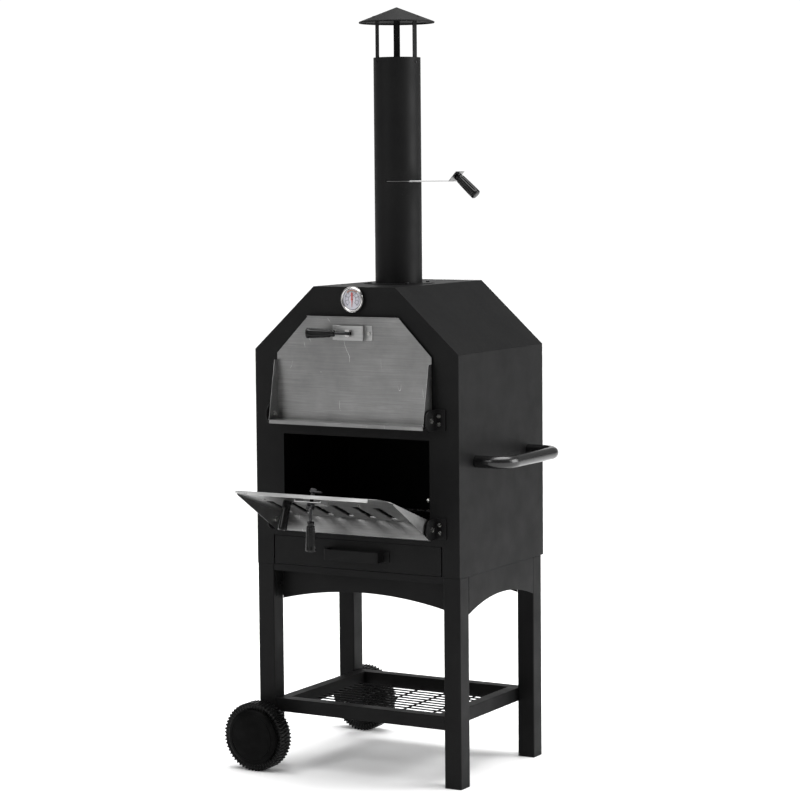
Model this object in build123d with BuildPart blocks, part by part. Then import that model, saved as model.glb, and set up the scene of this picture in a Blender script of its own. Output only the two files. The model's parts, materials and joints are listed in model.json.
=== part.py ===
"""Freestanding wood fired pizza oven: sheet cabinet with two flap doors, an ash drawer and a flue,
on a square-tube stand with a wire shelf and two wheels. All sizes are in millimetres."""
import os
from math import atan, cos, radians, sin

from build123d import *

os.makedirs("parts", exist_ok=True)

# ---------------------------------------------------------------- driving dimensions
# The origin is on the ground, under the middle of the whole object with its open door, wheels and
# handles, so the middle of the cabinet's front face is a little to the left and to the front of it.
MID_X = -15
FRONT_Y = -117.6

CABINET_W = 480
CABINET_D = 370
CABINET_BOTTOM = 428
SHOULDER_Z = 876
ROOF_Z = 1008
ROOF_HALF = 96
SHEET = 1.2

LEG = 38
LEG_WALL = 1.5
LEG_X = CABINET_W / 2 - LEG / 2
LEG_BACK_FACE = 360
LEG_INNER_X = LEG_X - LEG / 2
SHORT_LEG_FOOT = 48
APRON_BOTTOM = 351
APRON_CROWN = 376

SHELF_BOTTOM = 118
SHELF_H = 28
SHELF_RAIL = 25
SHELF_FRONT = 2
SHELF_BACK = 350
WIRE_R = 1.6
WIRE_PITCH = 20

WHEEL_R = 71.5
WHEEL_W = 42
WHEEL_GAP = 18
AXLE_R = 5
RUNNING_GAP = 0.05

HINGE_Y = -22
UPPER_HINGE_Z = 745
LOWER_HINGE_Z = 526.6
LOWER_DOOR_OPEN = 70
DOOR_HALF = 182
DOOR_SHEET = 1.0
DOOR_BACK = 5 + HINGE_Y
DOOR_FACE = DOOR_BACK + DOOR_SHEET
BEND_BELOW = 12
FLANGE_DEPTH = 37
HINGE_PIN_R = 3

THERMOMETER_Z = 983
THERMOMETER_R = 26.5

FLUE_Y = 183
FLUE_R = 49
FLUE_TOP = 1476
FLUE_WALL = 1.2
CAP_R = 78.5
CAP_RIM = 1550
CAP_APEX = 1580
DAMPER_Z = 1220

DRAWER_HALF = 197.5
DRAWER_TOP = 489
DRAWER_BOTTOM = 430.5

# ---------------------------------------------------------------- working planes
# oven: x right from the cabinet's middle, y back from its front face, z up from the ground
oven = Plane(origin=(MID_X, FRONT_Y, 0))
# front and back: x across, y up, z out of the cabinet; right and left the same for the sides
front = Plane(origin=(MID_X, FRONT_Y, 0), x_dir=(1, 0, 0), z_dir=(0, -1, 0))
back = Plane(origin=(MID_X, FRONT_Y + LEG_BACK_FACE, 0), x_dir=(-1, 0, 0), z_dir=(0, 1, 0))
right = Plane(origin=(MID_X + CABINET_W / 2, FRONT_Y, 0), x_dir=(0, 1, 0), z_dir=(1, 0, 0))
left = Plane(origin=(MID_X - CABINET_W / 2, FRONT_Y, 0), x_dir=(0, -1, 0), z_dir=(-1, 0, 0))


def door_plane(hinge_z, opening):
    """The door's own plane: origin on its hinge axis, x right, y up the door, z out of its face."""
    lean = radians(opening)
    outward = (0, -cos(lean), -sin(lean))
    return Plane(origin=(MID_X, FRONT_Y + HINGE_Y, hinge_z), x_dir=(1, 0, 0), z_dir=outward)


def across(plane, x):
    """The plane square to `plane`'s x axis at x: its x runs along the plane's z, its y along its y."""
    return Plane(origin=plane.from_local_coords((x, 0, 0)), x_dir=plane.z_dir, z_dir=-plane.x_dir)


def turned(plane, angle):
    """The plane turned about its own z axis by an angle in degrees."""
    turn = radians(angle)
    x_dir = plane.x_dir * cos(turn) + plane.y_dir * sin(turn)
    return Plane(origin=plane.origin, x_dir=x_dir, z_dir=plane.z_dir)


def tilted(plane, angle):
    """The plane tilted about its own x axis by an angle in degrees."""
    tilt = radians(angle)
    z_dir = plane.z_dir * cos(tilt) - plane.y_dir * sin(tilt)
    return Plane(origin=plane.origin, x_dir=plane.x_dir, z_dir=z_dir)


def save(piece, name):
    piece.part.label = name
    export_step(piece.part, f"parts/{name}.step")


# ---------------------------------------------------------------- stand
for side, leg_x, foot in (("left", -LEG_X, SHORT_LEG_FOOT), ("right", LEG_X, 0)):
    for end, leg_y in (("front", LEG / 2), ("back", LEG_BACK_FACE - LEG / 2)):
        with BuildPart(oven) as leg:
            with BuildSketch(oven.offset(foot)):
                with Locations((leg_x, leg_y)):
                    RectangleRounded(LEG, LEG, 2.5)
                    Rectangle(LEG - 2 * LEG_WALL, LEG - 2 * LEG_WALL, mode=Mode.SUBTRACT)
            extrude(amount=CABINET_BOTTOM - foot)
            if side == "left":
                with BuildSketch(front):
                    with Locations((leg_x, WHEEL_R)):
                        Circle(AXLE_R)
                extrude(amount=-CABINET_D, mode=Mode.SUBTRACT)
        save(leg, f"leg_{end}_{side}")

PLUG = LEG - 2 * LEG_WALL
PLUG_H = 12
with BuildPart(oven) as leg_plugs:
    for leg_x, foot in ((-LEG_X, SHORT_LEG_FOOT), (LEG_X, 0)):
        with Locations((leg_x, LEG / 2, foot), (leg_x, LEG_BACK_FACE - LEG / 2, foot)):
            Box(PLUG, PLUG, PLUG_H, align=(Align.CENTER, Align.CENTER, Align.MIN))
save(leg_plugs, "leg_plugs")


def arched_web(plane, half, setback):
    """The outline of an apron's upright web: straight at the top, a shallow arch along the bottom."""
    with BuildSketch(plane.offset(-setback)) as web:
        with BuildLine():
            Polyline((-half, APRON_BOTTOM), (-half, CABINET_BOTTOM), (half, CABINET_BOTTOM),
                     (half, APRON_BOTTOM))
            ThreePointArc((half, APRON_BOTTOM), (0, APRON_CROWN), (-half, APRON_BOTTOM))
        make_face()
    return web.sketch


# The end aprons stand between the legs, set back to the legs' far faces. A top flange comes forward
# under the cabinet and ends in a narrow lip, and a tab at each end is bolted to the leg.
TAB_LOW = 358
TAB_HIGH = 412
LIP_SETBACK = 2
LIP_H = 12
for plane, name in ((front, "apron_front"), (back, "apron_back")):
    with BuildPart(plane) as apron:
        extrude(arched_web(plane, LEG_INNER_X, LEG - SHEET), amount=-SHEET)
        flange_depth = LEG - SHEET - LIP_SETBACK
        with Locations((0, CABINET_BOTTOM - SHEET / 2, -LIP_SETBACK - flange_depth / 2)):
            Box(2 * LEG_INNER_X, SHEET, flange_depth)
        with Locations((0, CABINET_BOTTOM - SHEET - LIP_H / 2, -LIP_SETBACK - SHEET / 2)):
            Box(2 * LEG_INNER_X, LIP_H, SHEET)
        tab_depth = 26
        tab_x = LEG_INNER_X - SHEET / 2
        tab_mid = (TAB_LOW + TAB_HIGH) / 2
        with Locations(*[(x, tab_mid, -LEG + SHEET + tab_depth / 2) for x in (-tab_x, tab_x)]):
            Box(SHEET, TAB_HIGH - TAB_LOW, tab_depth)
    save(apron, name)

# The side aprons are flush with the legs' outer faces, with a top flange and end tabs turned in.
SIDE_HALF = (LEG_BACK_FACE - 2 * LEG) / 2
SIDE_MID = LEG_BACK_FACE / 2
SIDE_FLANGE = 24
side_planes = {
    "right": Plane(origin=right.from_local_coords((SIDE_MID, 0, 0)), x_dir=(0, 1, 0), z_dir=(1, 0, 0)),
    "left": Plane(origin=left.from_local_coords((-SIDE_MID, 0, 0)), x_dir=(0, -1, 0), z_dir=(-1, 0, 0)),
}
for side, plane in side_planes.items():
    with BuildPart(plane) as apron:
        extrude(arched_web(plane, SIDE_HALF, 0), amount=-SHEET)
        with Locations((0, CABINET_BOTTOM - SHEET / 2, -SIDE_FLANGE / 2)):
            Box(2 * SIDE_HALF, SHEET, SIDE_FLANGE)
        tab_y = SIDE_HALF - SHEET / 2
        with Locations(*[(y, (TAB_LOW + TAB_HIGH) / 2, -SIDE_FLANGE / 2) for y in (-tab_y, tab_y)]):
            Box(SHEET, TAB_HIGH - TAB_LOW, SIDE_FLANGE)
    save(apron, f"apron_{side}")

# The shelf frame is four square-tube rails with mitred corners, standing inside the four legs.
SHELF_MID = (SHELF_FRONT + SHELF_BACK) / 2
SHELF_LONG = LEG_INNER_X
SHELF_DEEP = (SHELF_BACK - SHELF_FRONT) / 2


def between(start, end, share):
    """The point that lies the given share of the way from start to end."""
    return (start[0] + (end[0] - start[0]) * share, start[1] + (end[1] - start[1]) * share)


def mitred_rail(name, out_a, out_b, in_a, in_b):
    """One rail of the frame, from its outer edge a-b to its inner edge, hollow from mitre to mitre."""
    wall_share = LEG_WALL / SHELF_RAIL
    with BuildPart(oven) as rail:
        for low, height, share, mode in ((0, SHELF_H, 0, Mode.ADD),
                                         (LEG_WALL, SHELF_H - 2 * LEG_WALL, wall_share, Mode.SUBTRACT)):
            with BuildSketch(oven.offset(SHELF_BOTTOM + low)):
                with BuildLine():
                    Polyline(between(out_a, in_a, share), between(out_b, in_b, share),
                             between(in_b, out_b, share), between(in_a, out_a, share), close=True)
                make_face()
            extrude(amount=height, mode=mode)
    save(rail, name)


FRAME_OUT = [(-SHELF_LONG, SHELF_FRONT), (SHELF_LONG, SHELF_FRONT),
             (SHELF_LONG, SHELF_BACK), (-SHELF_LONG, SHELF_BACK)]
FRAME_IN = [(x - SHELF_RAIL if x > 0 else x + SHELF_RAIL,
             y + SHELF_RAIL if y == SHELF_FRONT else y - SHELF_RAIL) for x, y in FRAME_OUT]
for first, name in enumerate(("front", "right", "back", "left")):
    second = (first + 1) % 4
    mitred_rail(f"shelf_rail_{name}", FRAME_OUT[first], FRAME_OUT[second], FRAME_IN[first], FRAME_IN[second])

# Wires run across inside the frame and are welded on top of four wires that run front to back.
MESH_Z = SHELF_BOTTOM + 2 * WIRE_R
MESH_WIDE = SHELF_LONG - SHELF_RAIL
MESH_DEEP = SHELF_DEEP - SHELF_RAIL
CROSS_WIRES = int(2 * MESH_DEEP / WIRE_PITCH) - 1
LONG_WIRES = 4
with BuildPart(oven) as shelf_mesh:
    with Locations(Location((0, SHELF_MID, MESH_Z + 1.5 * WIRE_R))):
        with GridLocations(1, 2 * MESH_DEEP / (CROSS_WIRES + 1), 1, CROSS_WIRES):
            Cylinder(WIRE_R, 2 * MESH_WIDE, rotation=(0, 90, 0))
    with Locations(Location((0, SHELF_MID, MESH_Z))):
        with GridLocations(2 * MESH_WIDE / (LONG_WIRES + 1), 1, LONG_WIRES, 1):
            Cylinder(WIRE_R, 2 * MESH_DEEP, rotation=(90, 0, 0))
save(shelf_mesh, "shelf_mesh")

# ---------------------------------------------------------------- stub axles and wheels
WHEEL_FRONT_Y = -WHEEL_GAP - WHEEL_W / 2
WHEEL_BACK_Y = LEG_BACK_FACE + WHEEL_GAP + WHEEL_W / 2
HUB_FACE = WHEEL_W / 2 - 12
NUT_H = 6
AXLE_OVERHANG = WHEEL_GAP + WHEEL_W / 2 + HUB_FACE + NUT_H + 1.5
AXLE_INSIDE = LEG + 10
COLLAR_GAP = 1
AXLE_COLLAR_R = 9
# Each wheel has its own short axle through the leg, with a spacer collar between leg and hub.
with BuildPart(oven) as stub_axles:
    for plane, leg_x in ((front, -LEG_X), (back, LEG_X)):
        with BuildSketch(plane.offset(AXLE_OVERHANG)):
            with Locations((leg_x, WHEEL_R)):
                Circle(AXLE_R)
        extrude(amount=-AXLE_OVERHANG - AXLE_INSIDE)
        with BuildSketch(plane):
            with Locations((leg_x, WHEEL_R)):
                Circle(AXLE_COLLAR_R)
        extrude(amount=WHEEL_GAP - COLLAR_GAP)
save(stub_axles, "stub_axles")

HUB_R = 15
RIM_IN = 50
TREAD_R = WHEEL_R - 3
WEB_HALF = 2
LUGS = 56
LUG_DEEP = 7
LUG_WIDE = 4.5


def build_wheel(name, plane):
    """A moulded wheel, its axis along the plane's z: hub, thin web with spokes, and a lugged tread."""
    section_plane = Plane(origin=plane.origin, x_dir=plane.x_dir, z_dir=-plane.y_dir)
    half = WHEEL_W / 2
    with BuildPart(plane) as wheel:
        with BuildSketch(section_plane):
            with BuildLine():
                Polyline((AXLE_R + RUNNING_GAP, -half), (HUB_R, -half), (HUB_R, -WEB_HALF),
                         (RIM_IN, -WEB_HALF), (RIM_IN, -half + 2), (TREAD_R - 6, -half + 2),
                         (TREAD_R, -half + 8), (TREAD_R, half - 8), (TREAD_R - 6, half - 2),
                         (RIM_IN, half - 2), (RIM_IN, WEB_HALF), (HUB_R, WEB_HALF),
                         (HUB_R, HUB_FACE), (AXLE_R + RUNNING_GAP, HUB_FACE), close=True)
            make_face()
        revolve(axis=Axis(plane.origin, plane.z_dir))
        with PolarLocations(WHEEL_R - LUG_DEEP / 2, LUGS):
            with Locations((0, 0, -half / 2 + 1), (0, 0, half / 2 - 1)):
                Box(LUG_DEEP, LUG_WIDE, half - 3.5)
    save(wheel, name)


CAP_OUT = 58
CAP_WALL = 2
CAP_CROWN = 4


def build_wheel_cap(name, plane):
    """The domed hub cap that closes the outer face of a wheel over the axle nut."""
    section_plane = Plane(origin=plane.origin, x_dir=plane.x_dir, z_dir=-plane.y_dir)
    seat = WHEEL_W / 2 - 2
    dome = WHEEL_W / 2 + 2
    top = dome + CAP_CROWN
    inner_edge = (CAP_OUT - CAP_WALL, dome - CAP_WALL - 0.4)
    with BuildPart(plane) as cap:
        with BuildSketch(section_plane):
            with BuildLine():
                Line((0, top - CAP_WALL), (0, top))
                TangentArc((0, top), (CAP_OUT - 2, dome), tangent=(1, 0))
                Polyline((CAP_OUT - 2, dome), (CAP_OUT, dome - 2), (CAP_OUT, seat),
                         (CAP_OUT - CAP_WALL, seat), inner_edge)
                TangentArc((0, top - CAP_WALL), inner_edge, tangent=(1, 0))
            make_face()
        revolve(axis=Axis(plane.origin, plane.z_dir))
    save(cap, name)


wheel_planes = {
    "wheel_front": Plane(origin=oven.from_local_coords((-LEG_X, WHEEL_FRONT_Y, WHEEL_R)),
                         x_dir=(1, 0, 0), z_dir=(0, -1, 0)),
    "wheel_back": Plane(origin=oven.from_local_coords((-LEG_X, WHEEL_BACK_Y, WHEEL_R)),
                        x_dir=(-1, 0, 0), z_dir=(0, 1, 0)),
}
for name, plane in wheel_planes.items():
    build_wheel(name, plane)
    build_wheel_cap(f"{name}_cap", plane)

# ---------------------------------------------------------------- cabinet
OPENING_HALF = 172.4
LOWER_OPENING = (525, 702.6)
UPPER_OPENING_LOW = 743
UPPER_SHOULDER = 866
UPPER_OPENING_TOP = 938
UPPER_TOP_HALF = 102
DRAWER_GAP = 2.5
DRAWER_TOP_GAP = 0.8
GABLE = [(-CABINET_W / 2, CABINET_BOTTOM), (CABINET_W / 2, CABINET_BOTTOM), (CABINET_W / 2, SHOULDER_Z),
         (ROOF_HALF, ROOF_Z), (-ROOF_HALF, ROOF_Z), (-CABINET_W / 2, SHOULDER_Z)]
PROBE_R = 4
# a bolt through a tab folded in at the right edge of the lower opening
STOP_Z = 581
STOP_Y = 8
STOP_R = 2.5
STOP_HEAD_R = 5
STOP_HEAD_H = 4
STOP_LONG = 14
STOP_TAB_H = 18
STOP_TAB_DEEP = 16


def gable_outline(plane):
    """The outline of an end wall of the cabinet, with its two sloping shoulders."""
    with BuildSketch(plane) as gable:
        with BuildLine():
            Polyline(*GABLE, close=True)
        make_face()
    return gable.sketch


SCREW_HOLES = [(side * 197, hinge_z + step) for side in (-1, 1)
               for hinge_z in (LOWER_HINGE_Z, UPPER_HINGE_Z) for step in (-8, 8)]
HINGE_SCREW_R = 2
with BuildPart(front) as panel_front:
    extrude(gable_outline(front), amount=-SHEET)
    with BuildSketch(front):
        with Locations((0, sum(LOWER_OPENING) / 2)):
            Rectangle(2 * OPENING_HALF, LOWER_OPENING[1] - LOWER_OPENING[0])
        with BuildLine():
            Polyline((-OPENING_HALF, UPPER_OPENING_LOW), (OPENING_HALF, UPPER_OPENING_LOW),
                     (OPENING_HALF, UPPER_SHOULDER), (UPPER_TOP_HALF, UPPER_OPENING_TOP),
                     (-UPPER_TOP_HALF, UPPER_OPENING_TOP), (-OPENING_HALF, UPPER_SHOULDER), close=True)
        make_face()
        with Locations((0, (CABINET_BOTTOM + DRAWER_TOP + DRAWER_TOP_GAP) / 2)):
            Rectangle(2 * (DRAWER_HALF + DRAWER_GAP), DRAWER_TOP + DRAWER_TOP_GAP - CABINET_BOTTOM)
        with Locations((0, THERMOMETER_Z)):
            Circle(PROBE_R)
        with Locations(*SCREW_HOLES):
            Circle(HINGE_SCREW_R)
    extrude(amount=-SHEET, mode=Mode.SUBTRACT)
    with Locations((OPENING_HALF + SHEET / 2, STOP_Z, -STOP_TAB_DEEP / 2)):
        Box(SHEET, STOP_TAB_H, STOP_TAB_DEEP)
    with Locations((OPENING_HALF, STOP_Z, -STOP_Y)):
        Cylinder(STOP_R, STOP_TAB_H, rotation=(0, 90, 0), mode=Mode.SUBTRACT)
save(panel_front, "panel_front")

back_wall = Plane(origin=oven.from_local_coords((0, CABINET_D, 0)), x_dir=(-1, 0, 0), z_dir=(0, 1, 0))
with BuildPart(back_wall) as panel_back:
    extrude(gable_outline(back_wall), amount=-SHEET)
save(panel_back, "panel_back")

# The sides, shoulders and roof lie between the two end walls and are flush with their edges.
SIDE_DEPTH = CABINET_D - 2 * SHEET
HANDLE_Z = 657
HANDLE_BOLTS = (71, 302)
HANDLE_BOLT_R = 3
for side, plane, mirror_y in (("right", right, 1), ("left", left, -1)):
    with BuildPart(plane) as panel:
        with BuildSketch(plane):
            with Locations((mirror_y * CABINET_D / 2, (CABINET_BOTTOM + SHOULDER_Z) / 2)):
                Rectangle(SIDE_DEPTH, SHOULDER_Z - CABINET_BOTTOM)
            if side == "right":
                with Locations((HANDLE_BOLTS[0], HANDLE_Z), (HANDLE_BOLTS[1], HANDLE_Z)):
                    Circle(HANDLE_BOLT_R, mode=Mode.SUBTRACT)
        extrude(amount=-SHEET)
    save(panel, f"panel_{side}")

roof_section = front.offset(-SHEET)
with BuildPart(oven) as panel_roof:
    with BuildSketch(roof_section):
        with BuildLine():
            Polyline((-CABINET_W / 2, SHOULDER_Z), (-ROOF_HALF, ROOF_Z), (ROOF_HALF, ROOF_Z),
                     (CABINET_W / 2, SHOULDER_Z), (CABINET_W / 2 - SHEET, SHOULDER_Z),
                     (ROOF_HALF - SHEET / 2, ROOF_Z - SHEET), (-ROOF_HALF + SHEET / 2, ROOF_Z - SHEET),
                     (-CABINET_W / 2 + SHEET, SHOULDER_Z), close=True)
        make_face()
    extrude(amount=-SIDE_DEPTH)
    with BuildSketch(oven.offset(ROOF_Z + 1)):
        with Locations((0, FLUE_Y)):
            Circle(FLUE_R - FLUE_WALL)
    extrude(amount=-10, mode=Mode.SUBTRACT)
save(panel_roof, "panel_roof")

with BuildPart(oven) as panel_floor:
    with Locations((0, CABINET_D / 2, CABINET_BOTTOM + SHEET / 2)):
        Box(CABINET_W - 2 * SHEET, SIDE_DEPTH, SHEET)
save(panel_floor, "panel_floor")

# ---------------------------------------------------------------- inside the cabinet
INNER_X = CABINET_W / 2 - SHEET
STONE_RAIL_Z = 722
GRATE_RAIL_Z = 506
RAIL_LEG = 20
RAIL_T = 2
INSIDE_FRONT = 8
INSIDE_BACK = CABINET_D - SHEET
INSIDE_MID = (INSIDE_FRONT + INSIDE_BACK) / 2
RAIL_LENGTH = INSIDE_BACK - INSIDE_FRONT
with BuildPart(oven) as inner_rails:
    for rail_z in (GRATE_RAIL_Z, STONE_RAIL_Z):
        for side in (-1, 1):
            with Locations((side * (INNER_X - RAIL_LEG / 2), INSIDE_MID, rail_z - RAIL_T / 2)):
                Box(RAIL_LEG, RAIL_LENGTH, RAIL_T)
            with Locations((side * (INNER_X - RAIL_T / 2), INSIDE_MID, rail_z - RAIL_LEG / 2)):
                Box(RAIL_T, RAIL_LENGTH, RAIL_LEG)
save(inner_rails, "inner_rails")

STONE_T = 15
STONE_HALF = INNER_X - 4
STONE_FRONT = 20
STONE_BACK = 350
with BuildPart(oven) as pizza_stone:
    with Locations((0, (STONE_FRONT + STONE_BACK) / 2, STONE_RAIL_Z + STONE_T / 2)):
        Box(2 * STONE_HALF, STONE_BACK - STONE_FRONT, STONE_T)
    chamfer(pizza_stone.edges().filter_by(Axis.Z), length=8)
save(pizza_stone, "pizza_stone")

GRATE_BAR_R = 3
GRATE_BARS = 19
GRATE_FRAME = 12
GRATE_DEEP = 320
GRATE_MID = 20 + GRATE_DEEP / 2
with BuildPart(oven) as charcoal_grate:
    with Locations((0, GRATE_MID, GRATE_RAIL_Z + GRATE_BAR_R)):
        Box(2 * STONE_HALF, GRATE_DEEP, 2 * GRATE_BAR_R)
        Box(2 * (STONE_HALF - GRATE_FRAME), GRATE_DEEP - 2 * GRATE_FRAME, 2 * GRATE_BAR_R,
            mode=Mode.SUBTRACT)
        with GridLocations(2 * (STONE_HALF - GRATE_FRAME) / (GRATE_BARS + 1), 1, GRATE_BARS, 1):
            Cylinder(GRATE_BAR_R, GRATE_DEEP - 2 * GRATE_FRAME, rotation=(90, 0, 0))
save(charcoal_grate, "charcoal_grate")

RUNNER_GAP = 0.6
RUNNER_X = DRAWER_HALF + RUNNER_GAP
RUNNER_H = 28
RUNNER_W = 24
with BuildPart(oven) as drawer_runners:
    for side in (-1, 1):
        with Locations((side * (RUNNER_X + RAIL_T / 2), INSIDE_MID, CABINET_BOTTOM + SHEET + RUNNER_H / 2)):
            Box(RAIL_T, RAIL_LENGTH, RUNNER_H)
        with Locations((side * (RUNNER_X + RUNNER_W / 2), INSIDE_MID, CABINET_BOTTOM + SHEET + RAIL_T / 2)):
            Box(RUNNER_W, RAIL_LENGTH, RAIL_T)
save(drawer_runners, "drawer_runners")

# ---------------------------------------------------------------- ash drawer
DRAWER_DEEP = 335
DRAWER_WALL = 1.2
PAN_TOP = DRAWER_TOP - 12
PAN_HALF = DRAWER_HALF - 3
DRAWER_LIFT = CABINET_BOTTOM + SHEET + 0.5
with BuildPart(oven) as ash_drawer_pan:
    with Locations((0, DRAWER_WALL / 2, (DRAWER_TOP + DRAWER_BOTTOM) / 2)):
        Box(2 * DRAWER_HALF, DRAWER_WALL, DRAWER_TOP - DRAWER_BOTTOM)
    with Locations((0, (DRAWER_WALL + DRAWER_DEEP) / 2, (DRAWER_LIFT + PAN_TOP) / 2)):
        Box(2 * PAN_HALF, DRAWER_DEEP - DRAWER_WALL, PAN_TOP - DRAWER_LIFT)
    with Locations((0, (DRAWER_WALL + DRAWER_DEEP) / 2, (DRAWER_LIFT + PAN_TOP) / 2 + DRAWER_WALL)):
        Box(2 * (PAN_HALF - DRAWER_WALL), DRAWER_DEEP - 3 * DRAWER_WALL, PAN_TOP - DRAWER_LIFT,
            mode=Mode.SUBTRACT)
save(ash_drawer_pan, "ash_drawer_pan")

PULL_Z = 461
PULL_HALF = 64
PULL_H = 22
PULL_OUT = 26
PULL_T = 2
PULL_FOOT = 16
with BuildPart(oven) as ash_drawer_pull:
    with Locations((0, -PULL_OUT + PULL_T / 2, PULL_Z)):
        Box(2 * PULL_HALF, PULL_T, PULL_H)
    for side in (-1, 1):
        with Locations((side * (PULL_HALF - PULL_T / 2), -PULL_OUT / 2, PULL_Z)):
            Box(PULL_T, PULL_OUT, PULL_H)
        with Locations((side * (PULL_HALF - PULL_T + PULL_FOOT / 2), -PULL_T / 2, PULL_Z)):
            Box(PULL_FOOT, PULL_T, PULL_H)
    bends = ash_drawer_pull.edges().filter_by(Axis.Z).sort_by(Axis.Y)[0:2]
    fillet(bends, radius=5)
save(ash_drawer_pull, "ash_drawer_pull")

# ---------------------------------------------------------------- hinge brackets
EAR_X = 186
EAR_T = 3
EAR_R = 21
PLATE_OUT = 211
PLATE_T = 3
with BuildPart(front) as hinge_brackets:
    for hinge_z in (LOWER_HINGE_Z, UPPER_HINGE_Z):
        for side in (-1, 1):
            plate_mid = side * (EAR_X + PLATE_OUT) / 2
            with Locations((plate_mid, hinge_z, PLATE_T / 2)):
                Box(PLATE_OUT - EAR_X, 2 * EAR_R, PLATE_T)
            ear = across(front, side * (EAR_X + EAR_T / 2))
            with BuildSketch(ear):
                with Locations((-HINGE_Y / 2, hinge_z)):
                    Rectangle(-HINGE_Y, 2 * EAR_R)
                with Locations((-HINGE_Y, hinge_z)):
                    Circle(EAR_R)
            extrude(amount=EAR_T / 2, both=True)
            with BuildSketch(ear):
                with Locations((-HINGE_Y, hinge_z)):
                    Circle(HINGE_PIN_R)
            extrude(amount=EAR_T, both=True, mode=Mode.SUBTRACT)
    with BuildSketch(front):
        with Locations(*SCREW_HOLES):
            Circle(HINGE_SCREW_R)
    extrude(amount=PLATE_T, mode=Mode.SUBTRACT)
save(hinge_brackets, "hinge_brackets")

# ---------------------------------------------------------------- thermometer
CASE_DEEP = 11
BEZEL_R = 21
DIAL_SEAT = 7
therm = Plane(origin=front.from_local_coords((0, THERMOMETER_Z, 0)), x_dir=(1, 0, 0), z_dir=(0, -1, 0))
therm_section = Plane(origin=therm.origin, x_dir=therm.x_dir, z_dir=-therm.y_dir)
with BuildPart(therm) as thermometer_case:
    with BuildSketch(therm_section):
        with BuildLine():
            Polyline((0, -55), (3, -55), (3, -12), (PROBE_R, -12), (PROBE_R, 0), (THERMOMETER_R - 3, 0))
            Line((THERMOMETER_R - 3, 0), (THERMOMETER_R - 0.5, 3))
            Line((THERMOMETER_R - 0.5, 3), (THERMOMETER_R - 0.5, 6))
            ThreePointArc((THERMOMETER_R - 0.5, 6), (THERMOMETER_R, 7), (THERMOMETER_R - 0.7, 8.4))
            ThreePointArc((THERMOMETER_R - 0.7, 8.4), (THERMOMETER_R - 2, CASE_DEEP),
                          (BEZEL_R, CASE_DEEP - 1.2))
            Polyline((BEZEL_R, CASE_DEEP - 1.2), (BEZEL_R, DIAL_SEAT - 1), (0, DIAL_SEAT - 1), (0, -55))
        make_face()
    revolve(axis=Axis(therm.origin, therm.z_dir))
save(thermometer_case, "thermometer_case")

with BuildPart(therm) as thermometer_dial:
    with BuildSketch(therm.offset(DIAL_SEAT - 1)):
        Circle(BEZEL_R - 0.1)
    extrude(amount=0.6)
    with BuildSketch(therm.offset(DIAL_SEAT - 1)):
        Circle(0.8)
    extrude(amount=2.2)
save(thermometer_dial, "thermometer_dial")

with BuildPart(therm) as thermometer_glass:
    with BuildSketch(therm.offset(DIAL_SEAT + 2)):
        Circle(BEZEL_R - 0.1)
    extrude(amount=0.7)
save(thermometer_glass, "thermometer_glass")

NEEDLE_LONG = 14
with BuildPart(therm) as thermometer_needle:
    with BuildSketch(therm.offset(DIAL_SEAT + 0.6)):
        Circle(2.4)
        with BuildLine():
            Polyline((-0.9, 0), (-2.4, NEEDLE_LONG - 3), (0, NEEDLE_LONG), (2.4, NEEDLE_LONG - 3), (0.9, 0),
                     close=True)
        make_face()
        Circle(0.8 + RUNNING_GAP, mode=Mode.SUBTRACT)
    extrude(amount=0.5)
save(thermometer_needle, "thermometer_needle")

# ---------------------------------------------------------------- flue, damper and cap
COLLAR_R = 74
COLLAR_T = 1.5
COLLAR_SCREW_R = 2.5
COLLAR_SCREW_PCD_R = 63
flue = Plane(origin=oven.from_local_coords((0, FLUE_Y, 0)))
with BuildPart(flue) as chimney_collar:
    with BuildSketch(flue.offset(ROOF_Z)):
        Circle(COLLAR_R)
        Circle(FLUE_R, mode=Mode.SUBTRACT)
        with PolarLocations(COLLAR_SCREW_PCD_R, 4, start_angle=45):
            Circle(COLLAR_SCREW_R, mode=Mode.SUBTRACT)
    extrude(amount=COLLAR_T)
save(chimney_collar, "chimney_collar")

SLOT_H = 3
with BuildPart(flue) as chimney_tube:
    with BuildSketch(flue.offset(ROOF_Z)):
        Circle(FLUE_R)
        Circle(FLUE_R - FLUE_WALL, mode=Mode.SUBTRACT)
    extrude(amount=FLUE_TOP - ROOF_Z)
    with Locations((FLUE_R, 0, DAMPER_Z)):
        Box(2 * FLUE_R, 2 * FLUE_R + 2, SLOT_H, mode=Mode.SUBTRACT)
save(chimney_tube, "chimney_tube")

# The damper is a tongue that slides level through the slot, with a narrow arm, a turned-up tab and a
# round handle square to the tab.
DAMPER_T = 1.2
DAMPER_R = FLUE_R - FLUE_WALL - 0.6
ARM_HALF = 18
ARM_END = 130
TAB_LONG = 26
TAB_LEAN = 48
with BuildPart(flue) as damper_plate:
    with BuildSketch(flue.offset(DAMPER_Z - DAMPER_T / 2)):
        Circle(DAMPER_R)
        with Locations((ARM_END / 2, 0)):
            Rectangle(ARM_END, 2 * ARM_HALF)
    extrude(amount=DAMPER_T)
    lean = radians(TAB_LEAN)
    tab_plane = Plane(origin=flue.from_local_coords((ARM_END, 0, DAMPER_Z)), x_dir=(cos(lean), 0, sin(lean)),
                      z_dir=(-sin(lean), 0, cos(lean)))
    with BuildSketch(tab_plane.offset(-DAMPER_T / 2)):
        with Locations((TAB_LONG / 2 - 0.5, 0)):
            Rectangle(TAB_LONG + 1, 2 * ARM_HALF)
    extrude(amount=DAMPER_T)
save(damper_plate, "damper_plate")

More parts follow.
